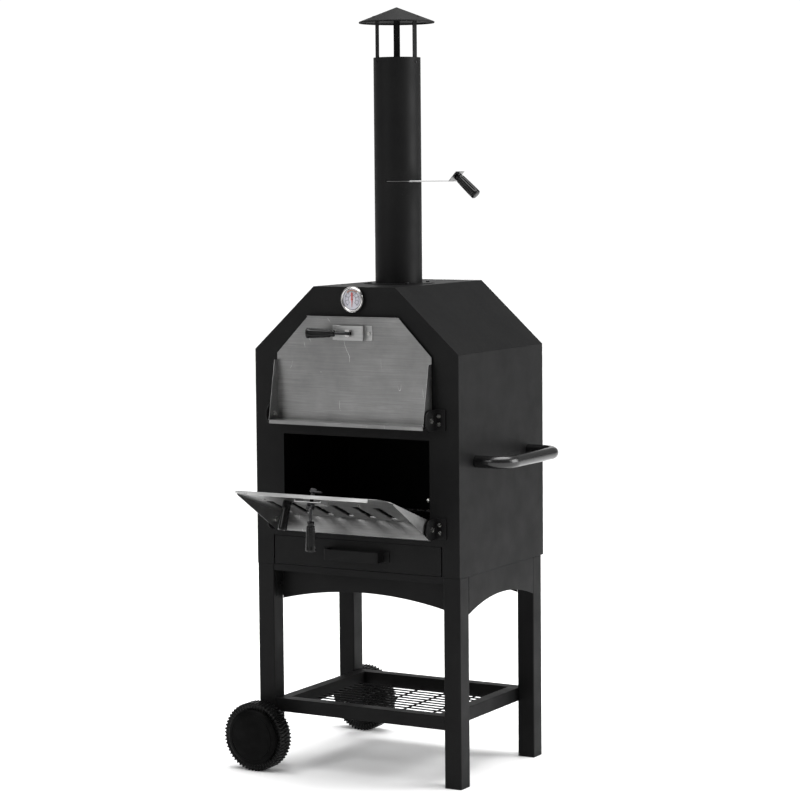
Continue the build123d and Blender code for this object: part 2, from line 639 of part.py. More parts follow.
DAMPER_GRIP_THIN = 8.5
DAMPER_GRIP_THICK = 10.5
DAMPER_GRIP_LONG = 60
GRIP_ON_TAB = 15
grip_plane = Plane(origin=tab_plane.from_local_coords((GRIP_ON_TAB, 0, -DAMPER_T / 2)),
                   x_dir=(0, 1, 0), z_dir=-tab_plane.z_dir)
with BuildPart(grip_plane) as damper_handle:
    with BuildSketch(across(grip_plane, 0)):
        with BuildLine():
            Polyline((0, 0), (0, DAMPER_GRIP_THIN - 2), (2, DAMPER_GRIP_THIN),
                     (DAMPER_GRIP_LONG - 1.5, DAMPER_GRIP_THICK),
                     (DAMPER_GRIP_LONG, DAMPER_GRIP_THICK - 1.5), (DAMPER_GRIP_LONG, 0), close=True)
        make_face()
    revolve(axis=Axis(grip_plane.origin, grip_plane.z_dir))
save(damper_handle, "damper_handle")

# Three struts stand inside the top of the tube and turn outwards along the underside of the cone.
STRUT_W = 13.5
STRUT_T = 1.2
STRUT_FOOT = 1450
STRUT_R = FLUE_R - FLUE_WALL - 0.5
STRUT_HEAD = STRUT_R + 14
STRUT_TURNS = (-8, 120, 240)
cone_slope = (CAP_APEX - CAP_RIM) / CAP_R
STRUT_TURN = CAP_APEX - cone_slope * STRUT_R - 1.8
strut_drop = cone_slope * (STRUT_HEAD - STRUT_R)
with BuildPart(flue) as chimney_struts:
    for turn in STRUT_TURNS:
        along = radians(turn)
        strut_plane = Plane(origin=flue.origin, x_dir=(cos(along), sin(along), 0),
                            z_dir=(sin(along), -cos(along), 0))
        with BuildSketch(strut_plane):
            with BuildLine():
                Polyline((STRUT_R - STRUT_T, STRUT_FOOT), (STRUT_R, STRUT_FOOT), (STRUT_R, STRUT_TURN - 1.5),
                         (STRUT_HEAD, STRUT_TURN - 1.5 - strut_drop),
                         (STRUT_HEAD, STRUT_TURN - strut_drop), (STRUT_R - STRUT_T, STRUT_TURN + 0.4),
                         close=True)
            make_face()
        extrude(amount=STRUT_W / 2, both=True)
save(chimney_struts, "chimney_struts")

# The cap is a thin cone with a narrow turned-down rim.
CAP_SHEET = 0.8
with BuildPart(flue) as chimney_cap:
    with BuildSketch(Plane(origin=flue.origin, x_dir=(1, 0, 0), z_dir=(0, -1, 0))):
        with BuildLine():
            Polyline((0, CAP_APEX), (CAP_R, CAP_RIM), (CAP_R, CAP_RIM - 3), (CAP_R - CAP_SHEET, CAP_RIM - 3),
                     (CAP_R - CAP_SHEET, CAP_RIM - 0.5), (0, CAP_APEX - CAP_SHEET), close=True)
        make_face()
    revolve(axis=Axis(flue.origin, flue.z_dir))
save(chimney_cap, "chimney_cap")

# Collar screws, strut rivets in the tube's mouth and rivets through the cone.
RIVET_R = 2.2
RIVET_H = 1.3
RIVET_Z = 1466
cone_rivet_r = STRUT_R + 8
cone_rivet_z = CAP_APEX - cone_slope * cone_rivet_r
with BuildPart(flue) as chimney_fasteners:
    with BuildSketch(flue.offset(ROOF_Z + COLLAR_T)):
        with PolarLocations(COLLAR_SCREW_PCD_R, 4, start_angle=45):
            Circle(COLLAR_SCREW_R + 1.8)
    extrude(amount=2.4)
    for turn in STRUT_TURNS:
        angle = radians(turn)
        on_tube = (FLUE_R * cos(angle), FLUE_R * sin(angle), RIVET_Z)
        across_tube = Plane(origin=flue.from_local_coords(on_tube), z_dir=(cos(angle), sin(angle), 0))
        with BuildSketch(across_tube):
            Circle(RIVET_R)
        extrude(amount=RIVET_H)
        slope = atan(cone_slope)
        on_cone = Plane(origin=flue.from_local_coords((cone_rivet_r * cos(angle), cone_rivet_r * sin(angle),
                                                       cone_rivet_z + 0.12)),
                        z_dir=(cos(angle) * sin(slope), sin(angle) * sin(slope), cos(slope)))
        with BuildSketch(on_cone):
            Circle(RIVET_R)
        extrude(amount=RIVET_H)
save(chimney_fasteners, "chimney_fasteners")

# ---------------------------------------------------------------- side handle
HANDLE_R = 12.5
HANDLE_OUT = 70
HANDLE_BEND = 36
handle_path_plane = Plane(origin=right.from_local_coords((0, HANDLE_Z, 0)), x_dir=(0, 1, 0),
                          z_dir=(0, 0, -1))
with BuildPart(right) as side_handle:
    with BuildLine(handle_path_plane) as grip_line:
        FilletPolyline((HANDLE_BOLTS[0], 0), (HANDLE_BOLTS[0], HANDLE_OUT), (HANDLE_BOLTS[1], HANDLE_OUT),
                       (HANDLE_BOLTS[1], 0), radius=HANDLE_BEND)
    with BuildSketch(Plane(origin=grip_line.line @ 0, z_dir=grip_line.line % 0)):
        Circle(HANDLE_R)
    sweep(path=grip_line.line)
save(side_handle, "side_handle")

# ---------------------------------------------------------------- fasteners on the cabinet and the stand
SCREW_HEAD_R = 4
SCREW_HEAD_H = 2.4
PIN_HEAD_R = 5
PIN_HEAD_H = 3
PIN_NUT_R = 5.5
PIN_NUT_H = 4
FLANGE_INNER = DOOR_HALF - DOOR_SHEET
# The hinge screws and pins, the side handle's nuts, and the bolt in the lower opening's tab.
with BuildPart(front) as cabinet_fasteners:
    with BuildSketch(front.offset(PLATE_T)):
        with Locations(*SCREW_HOLES):
            Circle(SCREW_HEAD_R)
    extrude(amount=SCREW_HEAD_H)
    with BuildSketch(front.offset(PLATE_T)):
        with Locations(*SCREW_HOLES):
            Circle(HINGE_SCREW_R)
    extrude(amount=-PLATE_T - 10)
    for hinge_z in (LOWER_HINGE_Z, UPPER_HINGE_Z):
        for side in (-1, 1):
            pin_in = FLANGE_INNER - 0.6 - PIN_NUT_H
            for start, length, radius in ((pin_in, EAR_X + EAR_T - pin_in, HINGE_PIN_R),
                                          (pin_in, PIN_NUT_H, PIN_NUT_R),
                                          (EAR_X + EAR_T, PIN_HEAD_H, PIN_HEAD_R)):
                with Locations((side * (start + length / 2), hinge_z, -HINGE_Y)):
                    Cylinder(radius, length, rotation=(0, 90, 0))
    for bolt_y in HANDLE_BOLTS:
        with Locations((CABINET_W / 2 - SHEET / 2 - 2, HANDLE_Z, -bolt_y)):
            Cylinder(HANDLE_BOLT_R, SHEET + 4, rotation=(0, 90, 0))
        with Locations((CABINET_W / 2 - SHEET - 2, HANDLE_Z, -bolt_y)):
            Cylinder(6, 4, rotation=(0, 90, 0))
    stop_end = OPENING_HALF + SHEET + STOP_HEAD_H + 1
    for start, length, radius in ((stop_end - STOP_LONG, STOP_LONG, STOP_R),
                                  (stop_end - STOP_LONG, STOP_HEAD_H, STOP_HEAD_R),
                                  (OPENING_HALF + SHEET, STOP_HEAD_H, STOP_HEAD_R)):
        with Locations((start + length / 2, STOP_Z, -STOP_Y)):
            Cylinder(radius, length, rotation=(0, 90, 0))
save(cabinet_fasteners, "cabinet_fasteners")

# Apron bolts through the tabs into the legs, and the axle nuts.
APRON_BOLT_Z = 385
BOLT_HEAD_R = 4.5
BOLT_HEAD_H = 3
with BuildPart(oven) as frame_fasteners:
    bolt_x = LEG_INNER_X - SHEET - BOLT_HEAD_H / 2
    for bolt_y in (LEG / 2 + 4, LEG_BACK_FACE - LEG / 2 - 4):
        with Locations((-bolt_x, bolt_y, APRON_BOLT_Z), (bolt_x, bolt_y, APRON_BOLT_Z)):
            Cylinder(BOLT_HEAD_R, BOLT_HEAD_H, rotation=(0, 90, 0))
    for bolt_y in (LEG + SHEET + BOLT_HEAD_H / 2, LEG_BACK_FACE - LEG - SHEET - BOLT_HEAD_H / 2):
        with Locations((-LEG_X + 4, bolt_y, APRON_BOLT_Z), (LEG_X - 4, bolt_y, APRON_BOLT_Z)):
            Cylinder(BOLT_HEAD_R, BOLT_HEAD_H, rotation=(90, 0, 0))
    nut_offset = WHEEL_GAP + WHEEL_W / 2 + HUB_FACE + 0.6
    for nut_y in (-nut_offset, LEG_BACK_FACE + nut_offset + NUT_H):
        with BuildSketch(front.offset(-nut_y)):
            with Locations((-LEG_X, WHEEL_R)):
                RegularPolygon(9, 6)
                Circle(AXLE_R, mode=Mode.SUBTRACT)
        extrude(amount=NUT_H)
save(frame_fasteners, "frame_fasteners")

# ---------------------------------------------------------------- doors
PIN_HOLE_R = HINGE_PIN_R + RUNNING_GAP
EDGE_LIP = 7.5
STRAP_HALF = 47
STRAP_W = 30
STRAP_RISE = 12
STRAP_RISE_HALF = 29
STRAP_T = 1.5
STRAP_SCREW_X = 38.5
STRAP_SCREW_R = 2
SPINDLE_R = 4
PIN_OUT = 19
STEM_R = 3
STEM_LONG = 28
GRIP_LONG = 60
GRIP_THIN = 7
GRIP_THICK = 10.5
VENT_GAP = 0.4
VENT_T = 1.0
STUD_R = 2
STUD_END = DOOR_BACK - VENT_GAP - VENT_T - VENT_GAP


def build_panel(name, plane, outline, flange_top, flange_top_depth, lip_half, lip_y, spindle_y,
                slots=(), studs=()):
    """A door of folded sheet: the plate, a forward lip along its free edge, tapered side flanges on
    the hinge pins, and a deep bottom flange with a turned-down lip."""
    with BuildPart(plane) as panel:
        with BuildSketch(plane.offset(DOOR_BACK)):
            add(outline)
            with Locations((0, spindle_y)):
                Circle(SPINDLE_R + RUNNING_GAP, mode=Mode.SUBTRACT)
            with Locations((-STRAP_SCREW_X, spindle_y), (STRAP_SCREW_X, spindle_y)):
                Circle(STRAP_SCREW_R, mode=Mode.SUBTRACT)
            if studs:
                with Locations(*studs):
                    Circle(STUD_R, mode=Mode.SUBTRACT)
            for slot in slots:
                add(slot, mode=Mode.SUBTRACT)
        extrude(amount=DOOR_SHEET)
        with Locations((0, lip_y - DOOR_SHEET / 2, DOOR_BACK + EDGE_LIP / 2)):
            Box(2 * lip_half, DOOR_SHEET, EDGE_LIP)
        for side in (-1, 1):
            flange_plane = across(plane, side * (DOOR_HALF - DOOR_SHEET / 2))
            with BuildSketch(flange_plane):
                with BuildLine():
                    Polyline((DOOR_BACK, -BEND_BELOW), (DOOR_BACK + FLANGE_DEPTH, -BEND_BELOW),
                             (DOOR_BACK + flange_top_depth, flange_top), (DOOR_BACK, flange_top), close=True)
                make_face()
                Circle(PIN_HOLE_R, mode=Mode.SUBTRACT)
            extrude(amount=DOOR_SHEET / 2, both=True)
        with Locations((0, -BEND_BELOW + DOOR_SHEET / 2, DOOR_BACK + FLANGE_DEPTH / 2)):
            Box(2 * DOOR_HALF - 2 * DOOR_SHEET, DOOR_SHEET, FLANGE_DEPTH)
        lip_z = DOOR_BACK + FLANGE_DEPTH - DOOR_SHEET / 2
        with Locations((0, -BEND_BELOW + DOOR_SHEET - EDGE_LIP / 2, lip_z)):
            Box(2 * DOOR_HALF - 2 * DOOR_SHEET, EDGE_LIP, DOOR_SHEET)
    save(panel, name)


def build_strap(name, plane, spindle_y):
    """The omega-shaped strap that guides the latch spindle clear of the plate."""
    low = DOOR_FACE
    high = DOOR_FACE + STRAP_RISE
    with BuildPart(plane) as strap:
        strap_plane = Plane(origin=plane.from_local_coords((0, spindle_y, 0)), x_dir=plane.x_dir,
                            z_dir=-plane.y_dir)
        with BuildSketch(strap_plane):
            with BuildLine():
                Polyline((-STRAP_HALF, low), (-STRAP_RISE_HALF, low), (-STRAP_RISE_HALF, high - STRAP_T),
                         (STRAP_RISE_HALF, high - STRAP_T), (STRAP_RISE_HALF, low), (STRAP_HALF, low),
                         (STRAP_HALF, low + STRAP_T), (STRAP_RISE_HALF + STRAP_T, low + STRAP_T),
                         (STRAP_RISE_HALF + STRAP_T, high), (-STRAP_RISE_HALF - STRAP_T, high),
                         (-STRAP_RISE_HALF - STRAP_T, low + STRAP_T), (-STRAP_HALF, low + STRAP_T),
                         close=True)
            make_face()
        extrude(amount=STRAP_W / 2, both=True)
        with BuildSketch(plane.offset(DOOR_FACE)):
            with Locations((0, spindle_y)):
                Circle(SPINDLE_R + RUNNING_GAP)
            with Locations((-STRAP_SCREW_X, spindle_y), (STRAP_SCREW_X, spindle_y)):
                Circle(STRAP_SCREW_R)
        extrude(amount=STRAP_RISE + 1, mode=Mode.SUBTRACT)
    save(strap, name)


def build_strap_screws(name, plane, spindle_y, studs=()):
    """The screws and nuts of the latch strap, and any headed studs that guide a slider."""
    with BuildPart(plane) as screws:
        places = [(-STRAP_SCREW_X, spindle_y), (STRAP_SCREW_X, spindle_y)]
        for level, length, radius in ((DOOR_FACE + STRAP_T, 2.2, SCREW_HEAD_R),
                                      (DOOR_BACK, STRAP_T + DOOR_SHEET, STRAP_SCREW_R),
                                      (DOOR_BACK - 2.5, 2.5, 3.5)):
            with BuildSketch(plane.offset(level)):
                with Locations(*places):
                    Circle(radius)
            extrude(amount=length)
        if studs:
            for level, length, radius in ((DOOR_FACE, 1.5, 3.5), (STUD_END, DOOR_FACE - STUD_END, STUD_R),
                                          (STUD_END - 1.2, 1.2, 5)):
                with BuildSketch(plane.offset(level)):
                    with Locations(*studs):
                        Circle(radius)
                extrude(amount=length)
    save(screws, name)


def build_spindle(name, plane, spindle_y, pin_turn, catch_long):
    """The latch spindle: a rod through strap and plate, a catch finger inside that points to the
    right, and a forked head outside with its cross pin turned to `pin_turn`."""
    foot = plane.from_local_coords((0, spindle_y, 0))
    spindle = Plane(origin=foot, x_dir=plane.x_dir, z_dir=plane.z_dir)
    head = DOOR_FACE + STRAP_RISE + 0.5
    pin_z = DOOR_FACE + PIN_OUT
    catch_low = DOOR_BACK - 13
    with BuildPart(spindle) as rod:
        with BuildSketch(spindle.offset(catch_low - 2)):
            Circle(SPINDLE_R)
        extrude(amount=head - catch_low + 2)
        with BuildSketch(spindle.offset(catch_low)):
            RegularPolygon(6.5, 6)
        extrude(amount=-5)
        with BuildSketch(spindle.offset(catch_low)):
            with Locations((catch_long / 2 - 3, 0)):
                RectangleRounded(catch_long + 6, 11, 3)
        extrude(amount=2.5)
        pinned = turned(spindle, pin_turn)
        with BuildSketch(pinned.offset(head)):
            RectangleRounded(14, 10, 2)
            Rectangle(7, 12, mode=Mode.SUBTRACT)
        extrude(amount=pin_z + 4 - head)
        with BuildSketch(pinned.offset(head - 0.1)):
            RectangleRounded(14, 10, 2)
        extrude(amount=1.5)
        with BuildSketch(across(pinned, 0)):
            with Locations((pin_z, 0)):
                Circle(1.5)
        extrude(amount=8.5, both=True)
    save(rod, name)


def build_handle(prefix, plane, spindle_y, pin_turn, fold):
    """The folding handle on the cross pin: an eye and stem of rod, and a tapered moulded grip. The
    handle points along the plane's outward axis turned by `fold` about the pin."""
    pin_z = DOOR_FACE + PIN_OUT
    pin_middle = plane.from_local_coords((0, spindle_y, pin_z))
    on_pin = Plane(origin=pin_middle, x_dir=plane.x_dir, z_dir=plane.z_dir)
    handle = tilted(turned(on_pin, pin_turn), fold)
    grip_end = STEM_LONG + GRIP_LONG
    with BuildPart(handle) as stem:
        with BuildSketch(across(handle, 0)):
            Circle(4.2)
        extrude(amount=3, both=True)
        with BuildSketch(handle):
            Circle(STEM_R)
        extrude(amount=STEM_LONG + 12)
        with BuildSketch(across(handle, 0)):
            Circle(1.5 + RUNNING_GAP)
        extrude(amount=5, both=True, mode=Mode.SUBTRACT)
    save(stem, f"{prefix}_handle_stem")
    with BuildPart(handle) as grip:
        with BuildSketch(across(handle, 0)):
            with BuildLine():
                Polyline((STEM_LONG, 0), (STEM_LONG, GRIP_THIN - 2), (STEM_LONG + 2, GRIP_THIN),
                         (grip_end - 1.5, GRIP_THICK), (grip_end, GRIP_THICK - 1.5), (grip_end, 0),
                         close=True)
            make_face()
        revolve(axis=Axis(handle.origin, handle.z_dir))
        with BuildSketch(handle.offset(STEM_LONG)):
            Circle(STEM_R)
        extrude(amount=12, mode=Mode.SUBTRACT)
    save(grip, f"{prefix}_handle_grip")


upper = door_plane(UPPER_HINGE_Z, 0)
UPPER_SHOULDER_Y = 125
UPPER_EDGE_Y = 203
UPPER_EDGE_HALF = 106
UPPER_SPINDLE_Y = 170
UPPER_FLANGE_TOP = 111
with BuildSketch() as upper_outline:
    with BuildLine():
        Polyline((-DOOR_HALF, -BEND_BELOW), (DOOR_HALF, -BEND_BELOW), (DOOR_HALF, UPPER_SHOULDER_Y),
                 (UPPER_EDGE_HALF, UPPER_EDGE_Y), (-UPPER_EDGE_HALF, UPPER_EDGE_Y),
                 (-DOOR_HALF, UPPER_SHOULDER_Y), close=True)
    make_face()
build_panel("upper_door_panel", upper, upper_outline.sketch, UPPER_FLANGE_TOP, 13, UPPER_EDGE_HALF,
            UPPER_EDGE_Y, UPPER_SPINDLE_Y)
build_strap("upper_latch_strap", upper, UPPER_SPINDLE_Y)
build_strap_screws("upper_door_fasteners", upper, UPPER_SPINDLE_Y)
build_spindle("upper_latch_spindle", upper, UPPER_SPINDLE_Y, 90, 28)
UPPER_HANDLE_FOLD = -75
build_handle("upper", upper, UPPER_SPINDLE_Y, 90, UPPER_HANDLE_FOLD)

lower = door_plane(LOWER_HINGE_Z, LOWER_DOOR_OPEN)
LOWER_EDGE_Y = 183
LOWER_CORNER = 28
LOWER_SPINDLE_Y = 162
LOWER_LIP_HALF = 140
LOWER_FLANGE_TOP = LOWER_EDGE_Y - LOWER_CORNER
SLOT_COUNT = 6
SLOT_PITCH = 50
SLOT_W = 16
SLOT_LOW = 2
SLOT_HIGH = 102
SLOT_LEAN = 12
SLOT_FIRST = -151
VENT_TRAVEL = 22
KNOB_X = -88
KNOB_Y = 112
KNOB_NECK_R = 3
VENT_STUDS = [(-140, 118), (83, 118)]
with BuildSketch() as lower_outline:
    with Locations((0, (LOWER_EDGE_Y - BEND_BELOW) / 2)):
        Rectangle(2 * DOOR_HALF, LOWER_EDGE_Y + BEND_BELOW)
    fillet(lower_outline.vertices().group_by(Axis.Y)[-1], radius=LOWER_CORNER)
    with Locations((KNOB_X + VENT_TRAVEL / 2, KNOB_Y)):
        SlotCenterToCenter(VENT_TRAVEL, 2 * KNOB_NECK_R + 1, mode=Mode.SUBTRACT)


def leaning_slot(low_left, low, high, width):
    """A slot outline that leans to the right on its way up the door."""
    with BuildSketch() as slot:
        with BuildLine():
            Polyline((low_left, low), (low_left + width, low), (low_left + width + SLOT_LEAN, high),
                     (low_left + SLOT_LEAN, high), close=True)
        make_face()
    return slot.sketch


vent_slots = [leaning_slot(SLOT_FIRST - SLOT_LEAN / 2 + SLOT_PITCH * i, SLOT_LOW, SLOT_HIGH, SLOT_W)
              for i in range(SLOT_COUNT)]
build_panel("lower_door_panel", lower, lower_outline.sketch, LOWER_FLANGE_TOP, 3, LOWER_LIP_HALF,
            LOWER_EDGE_Y, LOWER_SPINDLE_Y, vent_slots, VENT_STUDS)
build_strap("lower_latch_strap", lower, LOWER_SPINDLE_Y)
build_strap_screws("lower_door_fasteners", lower, LOWER_SPINDLE_Y, VENT_STUDS)
build_spindle("lower_latch_spindle", lower, LOWER_SPINDLE_Y, 0, 20)
build_handle("lower", lower, LOWER_SPINDLE_Y, 0, 90 - LOWER_DOOR_OPEN)

# The vent slider lies behind the plate on two headed studs, and slides to the right to shut the
# slots. Its knob stands out through its own slot in the plate.
SLIDER_LEFT = -164
SLIDER_RIGHT = 150
SLIDER_LOW = -5
SLIDER_HIGH = 127
with BuildPart(lower) as vent_slider:
    with BuildSketch(lower.offset(DOOR_BACK - VENT_GAP)):
        with Locations(((SLIDER_LEFT + SLIDER_RIGHT) / 2, (SLIDER_LOW + SLIDER_HIGH) / 2)):
            RectangleRounded(SLIDER_RIGHT - SLIDER_LEFT, SLIDER_HIGH - SLIDER_LOW, 4)
        for slot in vent_slots:
            add(slot, mode=Mode.SUBTRACT)
        with Locations(*[(x - VENT_TRAVEL / 2, y) for x, y in VENT_STUDS]):
            SlotCenterToCenter(VENT_TRAVEL, 2 * STUD_R + 0.8, mode=Mode.SUBTRACT)
    extrude(amount=-VENT_T)
save(vent_slider, "vent_slider")

KNOB_R = 9
KNOB_LONG = 58
KNOB_CLEAR = 1.5
with BuildPart(lower) as vent_knob:
    with BuildSketch(lower.offset(DOOR_BACK - VENT_GAP)):
        with Locations((KNOB_X, KNOB_Y)):
            Circle(KNOB_NECK_R)
    extrude(amount=VENT_GAP + DOOR_SHEET + KNOB_CLEAR + 1)
    with BuildSketch(lower.offset(DOOR_FACE + KNOB_CLEAR)):
        with Locations((KNOB_X, KNOB_Y)):
            Circle(KNOB_R)
    extrude(amount=KNOB_LONG)
save(vent_knob, "vent_knob")
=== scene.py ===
"""Looks of a freestanding wood fired pizza oven: camera, light, materials and detailed pieces.
Places are in metres in the frame's own coordinates. Profiles of pieces are in millimetres, times MM."""
import json
import math

import bmesh
import bpy
import numpy as np
from mathutils import Matrix, Vector


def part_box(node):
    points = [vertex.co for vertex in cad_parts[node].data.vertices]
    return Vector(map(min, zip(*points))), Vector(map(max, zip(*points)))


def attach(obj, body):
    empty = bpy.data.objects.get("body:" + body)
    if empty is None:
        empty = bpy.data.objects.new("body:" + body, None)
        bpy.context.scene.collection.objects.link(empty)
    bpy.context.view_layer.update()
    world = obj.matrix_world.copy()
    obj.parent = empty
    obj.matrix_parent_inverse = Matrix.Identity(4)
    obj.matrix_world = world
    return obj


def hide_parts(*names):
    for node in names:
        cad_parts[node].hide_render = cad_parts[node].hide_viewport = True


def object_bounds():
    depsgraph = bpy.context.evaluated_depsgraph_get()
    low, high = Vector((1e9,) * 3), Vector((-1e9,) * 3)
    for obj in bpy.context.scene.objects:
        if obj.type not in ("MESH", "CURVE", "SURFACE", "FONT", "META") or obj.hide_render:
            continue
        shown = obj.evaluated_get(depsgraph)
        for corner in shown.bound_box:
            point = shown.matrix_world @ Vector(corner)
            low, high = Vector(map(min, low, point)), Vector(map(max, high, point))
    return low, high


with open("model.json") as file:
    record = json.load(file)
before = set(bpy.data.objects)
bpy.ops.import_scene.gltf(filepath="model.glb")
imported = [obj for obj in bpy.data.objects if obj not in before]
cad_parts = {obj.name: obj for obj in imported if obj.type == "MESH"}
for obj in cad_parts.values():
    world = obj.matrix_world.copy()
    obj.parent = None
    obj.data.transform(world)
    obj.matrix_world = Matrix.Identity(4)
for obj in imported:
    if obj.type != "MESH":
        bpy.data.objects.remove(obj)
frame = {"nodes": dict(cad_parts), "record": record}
cad_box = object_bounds()
nodes = frame["nodes"]
MM = 0.001


# ---------------------------------------------------------------- camera
CAMERA_RIGHT = 2.6427
CAMERA_AHEAD = 4.4031
CAMERA_HEIGHT = 1.24273
CAMERA_LENS = 114.12
CAMERA_SENSOR = 36
CAMERA_SHIFT = -0.06


def make_camera():
    """A long lens at chest height, to the right of the oven's front, turned a little downwards."""
    low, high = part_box("panel_roof")
    middle = (low.x + high.x) / 2
    location = Vector((middle + CAMERA_RIGHT, low.y - CAMERA_AHEAD, cad_box[0].z + CAMERA_HEIGHT))
    yaw = 0.52268
    pitch = 0.07151
    roll = -0.00866
    forward = Vector((-math.sin(yaw), math.cos(yaw), 0))
    right = Vector((math.cos(yaw), math.sin(yaw), 0))
    up = Vector((0, 0, 1))
    look = forward * math.cos(pitch) - up * math.sin(pitch)
    head = up * math.cos(pitch) + forward * math.sin(pitch)
    x_axis = right * math.cos(roll) + head * math.sin(roll)
    y_axis = head * math.cos(roll) - right * math.sin(roll)
    data = bpy.data.cameras.new("camera")
    data.sensor_width = CAMERA_SENSOR
    data.lens = CAMERA_LENS
    data.shift_y = CAMERA_SHIFT
    camera = bpy.data.objects.new("camera", data)
    turn = Matrix((x_axis, y_axis, -look)).transposed()
    camera.matrix_world = Matrix.Translation(location) @ turn.to_4x4()
    bpy.context.scene.collection.objects.link(camera)
    bpy.context.scene.camera = camera


make_camera()


# ---------------------------------------------------------------- shader helpers
def set_span(node, low, high, out_low, out_high):
    """Sets a Map Range node to turn low..high into out_low..out_high."""
    node.inputs["From Min"].default_value = low
    node.inputs["From Max"].default_value = high
    node.inputs["To Min"].default_value = out_low
    node.inputs["To Max"].default_value = out_high


class Shader:
    """A material under construction: its node tree, its Principled shader and short ways to add nodes."""

    def __init__(self, name, color, roughness, metallic=0.0, specular=0.5):
        self.material = bpy.data.materials.new(name)
        self.material.use_nodes = True
        self.tree = self.material.node_tree
        self.principled = self.tree.nodes["Principled BSDF"]
        self.put("Base Color", (*color, 1))
        self.put("Roughness", roughness)
        self.put("Metallic", metallic)
        self.put("Specular IOR Level", specular)
        self.local = self.add("ShaderNodeTexCoord").outputs["Object"]

    def put(self, socket, value):
        self.principled.inputs[socket].default_value = value

    def add(self, kind, **settings):
        node = self.tree.nodes.new(kind)
        for key, value in settings.items():
            setattr(node, key, value)
        return node

    def link(self, output, target):
        self.tree.links.new(output, target)

    def feed(self, output, socket):
        self.link(output, self.principled.inputs[socket])

    def scaled(self, scale, rotation=(0, 0, 0)):
        """The piece's own coordinates, stretched by a scale on each axis."""
        mapping = self.add("ShaderNodeMapping")
        mapping.inputs["Scale"].default_value = scale
        mapping.inputs["Rotation"].default_value = rotation
        self.link(self.local, mapping.inputs["Vector"])
        return mapping.outputs["Vector"]

    def noise(self, scale, detail=2.0, roughness=0.5, vector=None):
        node = self.add("ShaderNodeTexNoise")
        node.inputs["Scale"].default_value = scale
        node.inputs["Detail"].default_value = detail
        node.inputs["Roughness"].default_value = roughness
        self.link(vector or self.local, node.inputs["Vector"])
        return node.outputs["Fac"]

    def span(self, value, low, high, out_low=0.0, out_high=1.0):
        """Maps low..high to out_low..out_high, held at the ends."""
        node = self.add("ShaderNodeMapRange")
        self.link(value, node.inputs["Value"])
        set_span(node, low, high, out_low, out_high)
        return node.outputs["Result"]

    def math(self, operation, first, second=None):
        node = self.add("ShaderNodeMath", operation=operation)
        for index, value in enumerate((first, second)):
            if value is None:
                continue
            if isinstance(value, (int, float)):
                node.inputs[index].default_value = value
            else:
                self.link(value, node.inputs[index])
        return node.outputs["Value"]

    def blend(self, factor, first, second):
        """A colour between two, each a colour or an output."""
        node = self.add("ShaderNodeMix", data_type="RGBA")
        self.link(factor, node.inputs["Factor"])
        for socket, value in (("A", first), ("B", second)):
            target = [s for s in node.inputs if s.name == socket and s.type == "RGBA"][0]
            if isinstance(value, tuple):
                target.default_value = (*value, 1)
            else:
                self.link(value, target)
        return [s for s in node.outputs if s.type == "RGBA"][0]

    def bump(self, height, strength, distance, under=None):
        node = self.add("ShaderNodeBump")
        node.inputs["Strength"].default_value = strength
        node.inputs["Distance"].default_value = distance
        self.link(height, node.inputs["Height"])
        if under is not None:
            self.link(under, node.inputs["Normal"])
        return node.outputs["Normal"]


def powder_coat(name, smooth, rough, specular):
    """Black powder coat: orange-peel grain, faint dust and slow changes of sheen."""
    s = Shader(name, (0.004, 0.004, 0.004), (smooth + rough) / 2, specular=specular)
    grain = s.noise(900, 2)
    peel = s.noise(260, 2)
    cloud = s.noise(7, 4, 0.6)
    speck = s.noise(520, 1)
    dust = s.math("MULTIPLY", s.span(speck, 0.70, 0.78), s.span(cloud, 0.45, 0.75))
    tone = s.blend(s.span(cloud, 0.3, 0.7), (0.0030, 0.0030, 0.0032), (0.0050, 0.0050, 0.0050))
    s.feed(s.blend(dust, tone, (0.03, 0.03, 0.03)), "Base Color")
    s.feed(s.span(s.noise(18, 3), 0.3, 0.7, smooth, rough), "Roughness")
    s.feed(s.bump(peel, 0.12, 0.0006, s.bump(grain, 0.25, 0.0003)), "Normal")
    return s.material


def brushed_stainless(name, dark, light):
    """Brushed sheet: fine streaks across the oven, a cloudy sheen, faint wipe marks and a few scratches."""
    s = Shader(name, (light, light, light), 0.34, metallic=1.0)
    s.put("Anisotropic", 0.35)
    fine = s.noise(1, 3, 0.6, s.scaled((30, 2600, 2600)))
    coarse = s.noise(1, 4, 0.6, s.scaled((9, 420, 420)))
    cloud = s.noise(11, 4, 0.6)
    wipe = s.noise(1, 3, 0.5, s.scaled((16, 40, 60), (0.0, 0.5, 0.0)))
    streaks = s.math("ADD", s.math("MULTIPLY", fine, 0.5), s.math("MULTIPLY", coarse, 0.5))
    tone = s.blend(s.span(streaks, 0.35, 0.65), (dark, dark, 0.99 * dark), (light, light, 0.99 * light))
    dull = 0.77 * dark
    tone = s.blend(s.span(cloud, 0.35, 0.7, 0.0, 0.6), tone, (dull, dull, dull))
    veins = s.noise(1, 1, 0.4, s.scaled((26, 14, 9), (0.3, 0.9, 0.2)))
    line = s.math("ABSOLUTE", s.math("SUBTRACT", veins, 0.5))
    scratch = s.math("MULTIPLY", s.span(line, 0.0, 0.0022, 1.0, 0.0), s.span(s.noise(23, 1), 0.60, 0.66))
    s.feed(s.blend(scratch, tone, (0.72, 0.72, 0.71)), "Base Color")
    rough = s.math("ADD", s.span(wipe, 0.35, 0.65, 0.27, 0.36), s.math("MULTIPLY", fine, 0.09))
    s.feed(rough, "Roughness")
    s.feed(s.bump(fine, 0.08, 0.0002, s.bump(coarse, 0.05, 0.0004)), "Normal")
    return s.material


